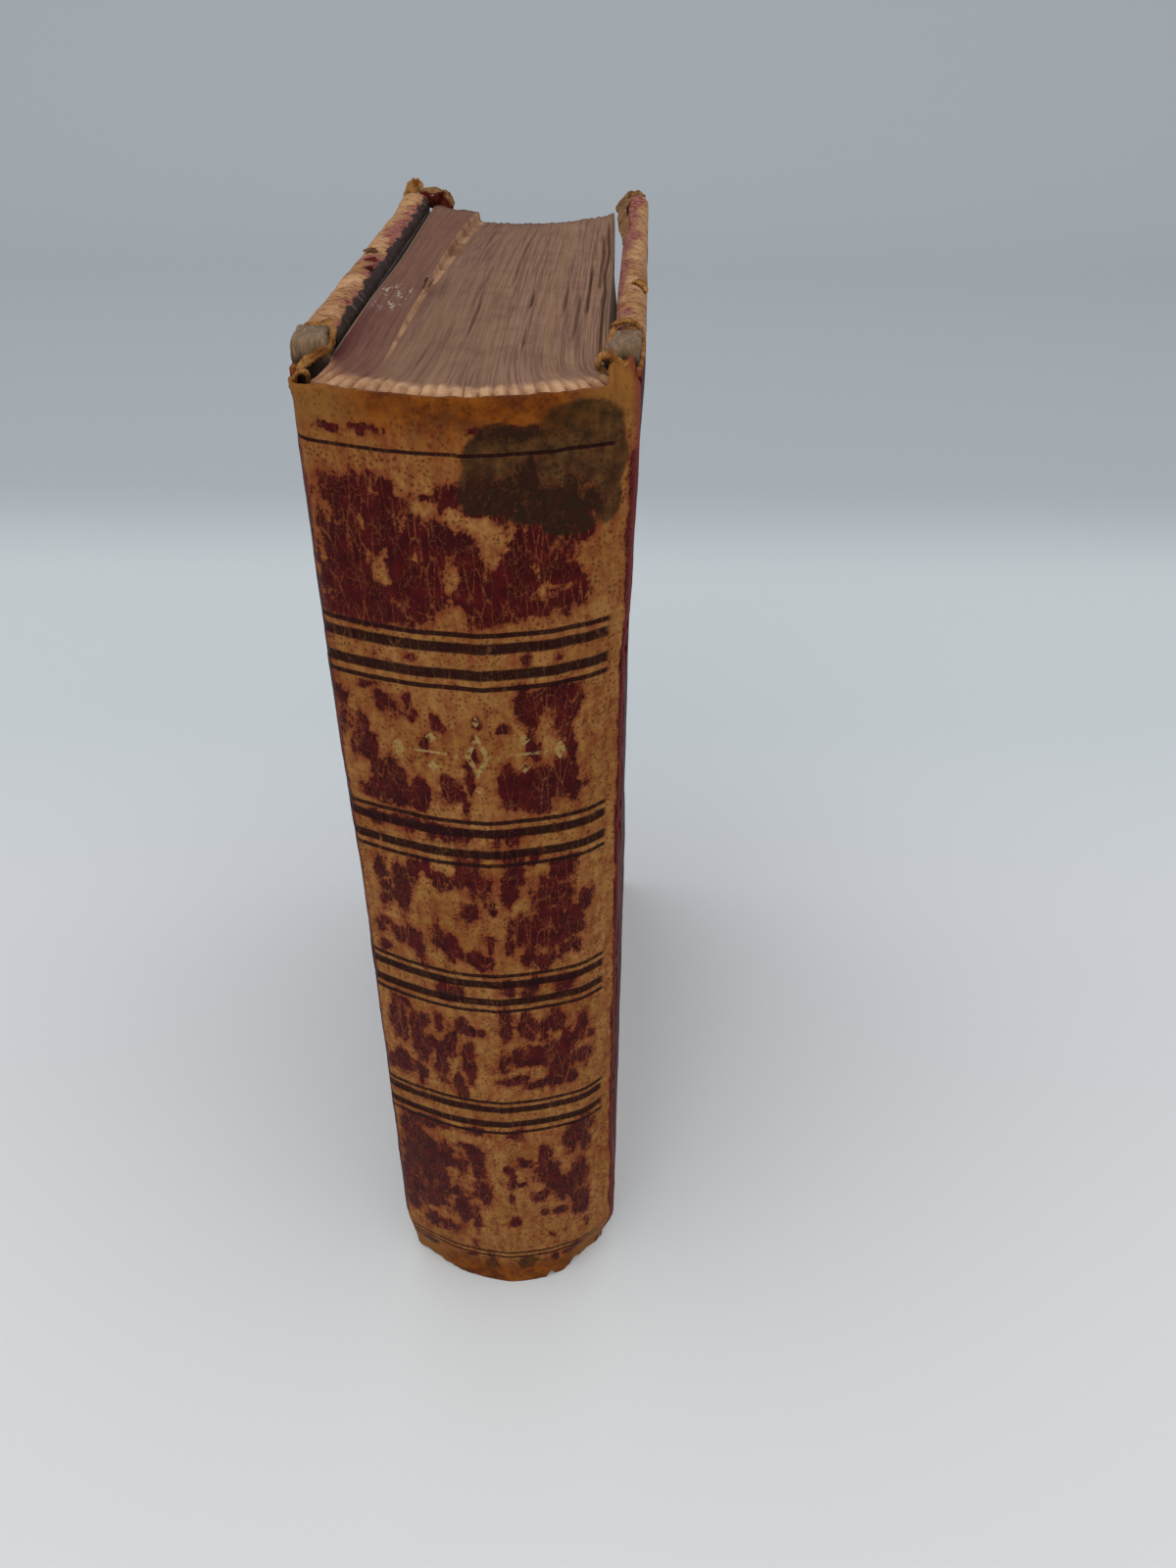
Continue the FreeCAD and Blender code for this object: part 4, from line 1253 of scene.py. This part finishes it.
def gilt_mask(net, sheet_place):
    """Symmetric gilt ornament, rubbed away in places."""
    place = net.split(sheet_place)
    side = net.absolute(net.minus(place["X"], ORNAMENT_PLACE[0] * MM))
    level = net.minus(place["Y"], ORNAMENT_PLACE[1] * MM)

    def lozenge(off_side, off_level, half_width, half_height):
        away = net.absolute(net.minus(side, off_side * MM))
        rise = net.absolute(net.minus(level, off_level * MM))
        reach = net.times_plus(rise, 1 / (half_height * MM), net.over(away, half_width * MM))
        return net.ramp(reach, 1.08, 0.92)

    mask = 0.0
    for lozenge_sizes in LOZENGES:
        mask = net.larger(lozenge(*lozenge_sizes), mask)
    mask = net.minus(mask, lozenge(*LOZENGE_HOLE))
    start, stop, half = (value * MM for value in RULE)
    rule = net.times(net.ramp(side, start - RULE_FADE, start), net.ramp(side, stop, stop - RULE_FADE))
    thin = net.ramp(net.absolute(level), half, half * 0.6)
    mask = net.larger(mask, net.times(rule, thin))
    rubbed = net.noise(sheet_place, 1500.0, 4.0, 0.6)
    broad = net.noise(sheet_place, 260.0, 2.0)
    kept = net.times(net.ramp(rubbed, 0.40, 0.56), net.ramp(broad, 0.30, 0.46))
    return net.times(net.times(mask, kept), 0.85)


def tan_ground(net, sheet_place, grain, fringe, light, dark):
    """Faded tan leather: broad and fine variation, pores, and a red tinge beside the finish."""
    broad = net.noise(sheet_place, 90.0, 4.0, 0.6)
    fine = net.noise(sheet_place, 800.0, 5.0, 0.7)
    grit = net.noise(sheet_place, 2600.0, 3.0, 0.7)
    streaks = net.noise(net.stretched(sheet_place, (1.0, 0.22, 1.0)), 420.0, 4.0, 0.6)
    tan = net.mix(net.ramp(broad, 0.35, 0.65), light, dark)
    tan = net.tint(tan, grit, 0.50, 0.68, 0.45, (176, 124, 74))
    tan = net.tint(tan, fine, 0.45, 0.72, 0.55, (92, 50, 20))
    tan = net.tint(tan, streaks, 0.50, 0.70, 0.50, (110, 52, 28))
    flecks = net.noise(net.stretched(sheet_place, (1.0, 0.6, 1.0)), 1500.0, 4.0, 0.7)
    tan = net.tint(tan, flecks, 0.58, 0.66, 0.6, (92, 32, 24))
    tan = net.mix(net.times(fringe, 0.7), tan, (108, 40, 28))
    return net.mix(net.times(grain["Pore mask"], 0.6), tan, (72, 32, 14))


def maroon_finish(net, sheet_place):
    fine = net.noise(sheet_place, 500.0, 5.0, 0.65)
    broad = net.noise(sheet_place, 120.0, 3.0)
    maroon = net.mix(net.ramp(fine, 0.35, 0.7), (52, 9, 11), (78, 18, 20))
    return net.mix(net.ramp(broad, 0.45, 0.7, 0.0, 0.5), maroon, (44, 14, 16))


def spine_leather_material():
    """Maroon finish flaking off faded tan leather, with tooled lines, gilt, soot and a dark stain."""
    net = new_material("flaked_spine_leather")
    sheet_place = net.unrolled()
    place = net.split(sheet_place)
    grain = net.use(GRAIN, {"Vector": sheet_place, "Pebbles": 1500.0, "Pores": 1900.0})
    finish_left = net.attribute("finish_left")
    flaked = net.use(FLAKES, {"Vector": sheet_place, "Coverage": finish_left, "Crack strength": 0.95})
    tan = tan_ground(net, sheet_place, grain, flaked["Fringe"], (149, 105, 59), (133, 90, 45))
    ends = net.larger(net.ramp(place["Y"], 0.1365, 0.1420), net.ramp(place["Y"], 0.0080, 0.0030))
    mottled = net.ramp(net.noise(sheet_place, 330.0, 5.0, 0.65), 0.38, 0.62)
    orange = net.mix(mottled, (122, 64, 2), (80, 34, 0))
    sides = net.ramp(net.absolute(place["X"]), 0.0085, 0.0150, 0.0, 0.75)
    orange = net.mix(sides, orange, (132, 88, 42))
    tan = net.mix(net.times(ends, 0.85), tan, orange)
    surface = net.mix(flaked["Mask"], tan, maroon_finish(net, sheet_place))
    blot = net.noise(sheet_place, 700.0, 5.0, 0.65)
    stain = net.ramp(net.times_plus(blot, 0.3, net.attribute("stain")), 0.45, 0.95)
    stained = net.mix(net.ramp(blot, 0.3, 0.7, 0.62, 0.90), surface, (40, 30, 19))
    surface = net.mix(stain, surface, stained)
    soot = net.times(net.ramp(net.attribute("soot"), 0.40, 0.85), 0.7)
    surface = net.mix(soot, surface, (34, 24, 18))
    lines = tooling_mask(net, sheet_place, place["X"], flaked["Cracks"])
    surface = net.mix(net.times(lines, 0.96), surface, (34, 10, 13))
    joint = net.ramp(place["X"], 0.0172, 0.0184, 0.0, 0.6)
    surface = net.mix(joint, surface, (120, 44, 46))
    gilt = gilt_mask(net, sheet_place)
    surface = net.mix(gilt, surface, (158, 132, 82))
    height = net.times_plus(flaked["Mask"], 0.7, grain["Height"])
    height = net.minus(height, net.times(lines, 1.3))
    roughness = net.ramp(flaked["Mask"], 0.0, 1.0, 0.66, 0.46)
    bump = (height, 0.75, 0.00016)
    return net.finish(surface, roughness, bump, specular=MATT, metallic=net.times(gilt, 0.5))


def cover_leather_material():
    """Maroon cover leather, rubbed to pale tan along its edges, dark where it is turned in."""
    net = new_material("worn_cover_leather")
    sheet_place = net.unrolled()
    grain = net.use(GRAIN, {"Vector": sheet_place, "Pebbles": 1300.0, "Pores": 1500.0})
    finish_left = net.attribute("finish_left")
    flaked = net.use(FLAKES, {"Vector": sheet_place, "Coverage": finish_left, "Crack strength": 0.15})
    edge_wear = net.attribute("edge_wear")
    worn = net.use(WEAR, {"Vector": sheet_place, "Mask": edge_wear, "Spread": 0.5})["Wear"]
    tan = tan_ground(net, sheet_place, grain, flaked["Fringe"], (132, 82, 42), (118, 70, 32))
    pale = tan_ground(net, sheet_place, grain, net.times(flaked["Fringe"], 0.5),
                      (200, 154, 112), (168, 122, 82))
    tan = net.mix(worn, tan, pale)
    speckle = net.ramp(net.noise(sheet_place, 1500.0, 4.0, 0.7), 0.40, 0.60)
    rubbed = net.mix(speckle, (118, 44, 46), (170, 112, 92))
    finish = net.mix(net.times(worn, 0.9), maroon_finish(net, sheet_place), rubbed)
    surface = net.mix(flaked["Mask"], tan, finish)
    scuffs = net.noise(net.stretched(sheet_place, (1.0, 0.4, 1.0)), 500.0, 6.0, 0.7)
    slate = net.mix(net.ramp(scuffs, 0.56, 0.74), (58, 44, 40), (132, 114, 104))
    surface = net.mix(net.ramp(net.attribute("turned_in"), 0.45, 0.6), surface, slate)
    roughness = net.ramp(flaked["Mask"], 0.0, 1.0, 0.74, 0.55)
    wrinkles = net.noise(sheet_place, 1900.0, 4.0, 0.75)
    height = net.times_plus(net.times(wrinkles, worn), 1.6, grain["Height"])
    return net.finish(surface, roughness, (height, 0.9, 0.00022), specular=MATT)


def fibrous_leather(name, light, dark, deep):
    """Bare torn leather in one range of colour."""
    net = new_material(name)
    space = net.space()
    fibres = net.noise(space, 1300.0, 6.0, 0.7)
    broad = net.noise(space, 420.0, 3.0)
    base = net.mix(net.ramp(fibres, 0.35, 0.7), light, dark)
    base = net.tint(base, broad, 0.45, 0.65, 0.7, deep)
    return net.finish(base, 0.85, (fibres, 0.8, 0.0002), specular=MATT)


def torn_leather_materials():
    """Golden torn edges, torn pieces that keep their red face, and the brown inside of the turn-ins."""
    return (
        fibrous_leather("torn_leather", (166, 120, 72), (118, 74, 32), (92, 50, 22)),
        fibrous_leather("torn_red_leather", (104, 48, 40), (70, 18, 20), (40, 10, 10)),
        fibrous_leather("torn_brown_leather", (140, 102, 66), (98, 68, 46), (70, 46, 30)),
    )


def leaf_edges():
    """Edges of old leaves seen together: fine lines across the thickness, foxed and dusty, with painted
    shade between the folds and beside the rear cover.
    """
    net = new_material("aged_leaf_edges")
    sheet_place = net.unrolled()
    space = net.space()
    across = net.split(sheet_place)
    leaf, way = across["X"], across["Y"]
    place = net.split(space)
    lines_at = net.put("ShaderNodeCombineXYZ", {
        "X": net.times(leaf, 5200.0),
        "Y": net.times(place["Y"], 60.0),
        "Z": net.times(place["Z"], 60.0)}).outputs[0]
    leaves = net.noise(lines_at, 1.0, 4.0, 0.7)
    bundles = net.noise(net.stretched(lines_at, (0.12, 0.25, 0.25)), 1.0, 3.0, 0.6)
    dust = net.noise(space, 240.0, 5.0, 0.65)
    paper = net.mix(net.ramp(leaves, 0.35, 0.65), (104, 76, 62), (142, 110, 92))
    paper = net.tint(paper, bundles, 0.42, 0.62, 0.5, (142, 110, 84))
    paper = net.tint(paper, dust, 0.45, 0.75, 0.4, (96, 64, 54))
    pale = net.mix(net.ramp(dust, 0.4, 0.6), (196, 154, 118), (156, 112, 84))
    reddish = net.ramp(leaf, -0.0075, -0.0095, 0.0, 0.45)
    paper = net.mix(reddish, paper, (104, 64, 60))
    paper = net.tint(paper, leaf, 0.0080, -0.0090, 0.22, (84, 54, 48))
    # Painted shade: dark maroon on the leaves where they meet the rear cover's inner lip
    shade_by_rear_lip = net.times(net.ramp(leaf, -0.0118, -0.0134), net.ramp(way, 0.030, 0.010))
    paper = net.mix(net.times(shade_by_rear_lip, 0.8), paper, (84, 42, 42))
    torn = net.mix(net.ramp(dust, 0.4, 0.62), (164, 126, 96), (120, 84, 64))
    paper = net.mix(net.attribute("torn_side"), paper, torn)
    paper = net.tint(paper, way, 0.0028, 0.0006, 0.85, pale)
    # Painted shade: dark red in the gaps between the gatherings' folds, made patchy by the dust noise
    half_turns = math.pi * GATHERINGS / 2
    turns = net.absolute(net.sine(net.times_plus(leaf, half_turns / (BLOCK_HALF * MM), half_turns)))
    between = net.times(net.ramp(turns, 0.5, 0.05), net.ramp(way, 0.0020, 0.0002))
    patchy_fold_gap_shade = net.times(between, net.ramp(dust, 0.36, 0.56, 0.15, 0.85))
    paper = net.mix(patchy_fold_gap_shade, paper, (92, 46, 34))
    scrapes = net.ramp(net.noise(net.stretched(space, (2.2, 0.7, 1.0)), 700.0, 4.0, 0.7), 0.55, 0.66)
    scuffed = net.times(scrapes, net.ramp(net.attribute("scuffed"), 0.5, 1.0))
    paper = net.mix(net.times(scuffed, 0.8), paper, (186, 176, 168))
    return net.finish(paper, 0.9, (leaves, 0.45, 0.00015), specular=MATT)


def pasteboard():
    """Grey-brown layered board with loose fibres, and painted shade low down beside the joint."""
    net = new_material("bare_pasteboard")
    space = net.space()
    fibres = net.noise(net.stretched(space, (2.5, 0.6, 0.6)), 900.0, 5.0, 0.7, 0.4)
    broad = net.noise(space, 180.0, 4.0)
    base = net.mix(net.ramp(fibres, 0.35, 0.7), (86, 62, 42), (134, 106, 78))
    base = net.tint(base, broad, 0.45, 0.7, 0.5, (132, 108, 82))
    # Painted shade: the bare board end goes dark brown below its swollen top, near the joint, where shade
    # falls in the hollow
    place = net.split(space)
    low = net.ramp(place["Z"], 0.1456, 0.1440)
    near = net.ramp(place["Y"], SHIFT.y + 0.0040, SHIFT.y + 0.0018)
    base = net.mix(net.times(low, near), base, (46, 31, 20))
    return net.finish(base, 0.92, (fibres, 0.8, 0.0002))


def endpaper():
    """Dark slate endpaper, scuffed pale."""
    net = new_material("scuffed_endpaper")
    space = net.space()
    scuffs = net.noise(net.stretched(space, (1.0, 1.0, 0.35)), 260.0, 6.0, 0.72)
    broad = net.noise(space, 60.0, 4.0)
    base = net.mix(net.ramp(broad, 0.35, 0.7), (66, 58, 56), (78, 66, 62))
    base = net.tint(base, scuffs, 0.60, 0.72, 1.0, (172, 160, 148))
    return net.finish(base, 0.7, (scuffs, 0.4, 0.0001))


def leaf_paper():
    """Plain old paper with foxing."""
    net = new_material("foxed_paper")
    space = net.space()
    pulp = net.noise(space, 700.0, 5.0, 0.6)
    foxing = net.noise(space, 150.0, 5.0, 0.6)
    base = net.mix(net.ramp(pulp, 0.3, 0.7), (168, 146, 116), (186, 164, 134))
    base = net.tint(base, foxing, 0.58, 0.72, 0.7, (136, 98, 62))
    height = net.split(space)["Z"]
    base = net.tint(base, height, 0.1408, 0.1428, 1.0, (118, 86, 68))
    return net.finish(base, 0.85, (pulp, 0.3, 0.00005))


def linen():
    """Woven linen of the lining, cords and thread."""
    net = new_material("plain_linen")
    space = net.space()
    threads = net.put("ShaderNodeTexWave", {"Vector": space, "Scale": 700.0, "Distortion": 2.0},
                  bands_direction="Z").outputs["Fac"]
    fuzz = net.noise(space, 900.0, 4.0)
    base = net.mix(threads, (132, 112, 82), (176, 156, 120))
    base = net.tint(base, fuzz, 0.4, 0.7, 0.5, (146, 122, 88))
    return net.finish(base, 0.9, (threads, 0.5, 0.0001))


def pale_floor():
    """Plain pale studio floor and backdrop with painted light and shade: lighter in front and near the
    book, darker towards the back.
    """
    net = new_material("pale_floor")
    space = net.space()
    place = net.split(space)
    # Painted light and shade: tones step down away from the lamps and up the backdrop, and are lifted near
    # the book against its shade
    base = net.mix(net.ramp(place["Y"], -0.07, 0.03), (221, 222, 221), (213, 214, 216))
    base = net.tint(base, place["Y"], 0.03, 0.14, 1.0, (202, 207, 209))
    base = net.tint(base, place["Y"], 0.21, 0.32, 1.0, (174, 179, 183))
    base = net.tint(base, place["Z"], 0.1, 0.8, 1.0, (182, 187, 191))
    return net.finish(base, 0.8, specular=0.1)


# Studio; the floor's sizes are in metres

FLOOR_WIDTH = 8.0
FLOOR_LENGTH = 5.2
FLOOR_FLAT = 3.75
FLOOR_FRONT = 3.0
FLOOR_RADIUS = 0.5


def make_floor(material):
    """Floor that curves up into a backdrop."""
    mesh = bmesh.new()
    bmesh.ops.create_grid(mesh, x_segments=8, y_segments=120, size=1.0)
    for vertex in mesh.verts:
        way = (vertex.co.y + 1) / 2 * FLOOR_LENGTH
        past = max(0.0, way - FLOOR_FLAT)
        angle = min(past / FLOOR_RADIUS, math.pi / 2)
        upright = max(0.0, past - FLOOR_RADIUS * math.pi / 2)
        y = min(way, FLOOR_FLAT) - FLOOR_FRONT + FLOOR_RADIUS * math.sin(angle)
        z = FLOOR_RADIUS * (1 - math.cos(angle)) + upright
        vertex.co = Vector((vertex.co.x * FLOOR_WIDTH / 2, y, z))
    added(mesh, "studio_floor", material)


def add_lamp(name, place, aim, size, power, tint=(1.0, 1.0, 1.0)):
    lamp = bpy.data.lights.new(name, "AREA")
    lamp.shape = "DISK"
    lamp.size = size
    lamp.energy = power
    lamp.color = tint
    holder = bpy.data.objects.new(name, lamp)
    holder.location = place
    holder.rotation_euler = (Vector(aim) - Vector(place)).to_track_quat("-Z", "Y").to_euler()
    bpy.context.scene.collection.objects.link(holder)


def set_up_studio():
    world = bpy.data.worlds.new("soft_room")
    world.use_nodes = True
    world.node_tree.nodes["Background"].inputs["Color"].default_value = (0.93, 0.965, 1.0, 1.0)
    world.node_tree.nodes["Background"].inputs["Strength"].default_value = 0.78
    bpy.context.scene.world = world
    add_lamp("ceiling_light", (-0.1, -0.1, 1.3), (0, 0, 0.05), 2.0, 5.0)
    add_lamp("window_light", (-0.15, -1.1, 0.8), (0, 0, 0.08), 1.0, 3.0, (1.0, 0.98, 0.95))
    bpy.context.scene.view_settings.view_transform = "Standard"


CAMERA_PLACE = (13.28, -119.28, 176.46)
CAMERA_TURN = 0.5748
CAMERA_DIP = 34.6295
CAMERA_ROLL = 0.2905
CAMERA_LENS = 26.948


def set_up_camera():
    turn, dip, roll = (math.radians(a) for a in (CAMERA_TURN, CAMERA_DIP, CAMERA_ROLL))
    ahead = Vector((-math.sin(turn) * math.cos(dip), math.cos(turn) * math.cos(dip), -math.sin(dip)))
    level = Vector((math.cos(turn), math.sin(turn), 0.0))
    above = level.cross(ahead)
    right = level * math.cos(roll) + above * math.sin(roll)
    up = above * math.cos(roll) - level * math.sin(roll)
    data = bpy.data.cameras.new("studio_camera")
    data.sensor_fit = "VERTICAL"
    data.sensor_height = 36.0
    data.lens = CAMERA_LENS
    data.clip_start = 0.005
    holder = bpy.data.objects.new("studio_camera", data)
    turned = Matrix((right, up, -ahead)).transposed()
    holder.matrix_world = Matrix.Translation(placed(*CAMERA_PLACE)) @ turned.to_4x4()
    bpy.context.scene.collection.objects.link(holder)
    bpy.context.scene.camera = holder


# Assembly


def dress_nodes(materials):
    """Give every CAD node that stays its own finish."""
    wanted = {
        "pastedown": materials["endpaper"], "cord": materials["linen"], "stitch": materials["linen"],
    }
    for name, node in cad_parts.items():
        for word, material in wanted.items():
            if word in name:
                for slot in node.material_slots:
                    slot.material = material


def main():
    set_up_studio()
    set_up_camera()
    make_floor(pale_floor())
    make_spine_leather(spine_leather_material())
    cover_material = cover_leather_material()
    for side in (1, -1):
        make_cover_leather(side, cover_material)
    make_text_block(leaf_edges())
    board = pasteboard()
    paper = leaf_paper()
    for side in (1, -1):
        make_flyleaf(side, paper)
        make_board(side, board)
        make_bare_board_end(side, board)
    make_torn_leather(*torn_leather_materials(), paper)
    cloth = linen()
    make_spine_lining(cloth)
    dress_nodes({"endpaper": endpaper(), "linen": cloth})


main()
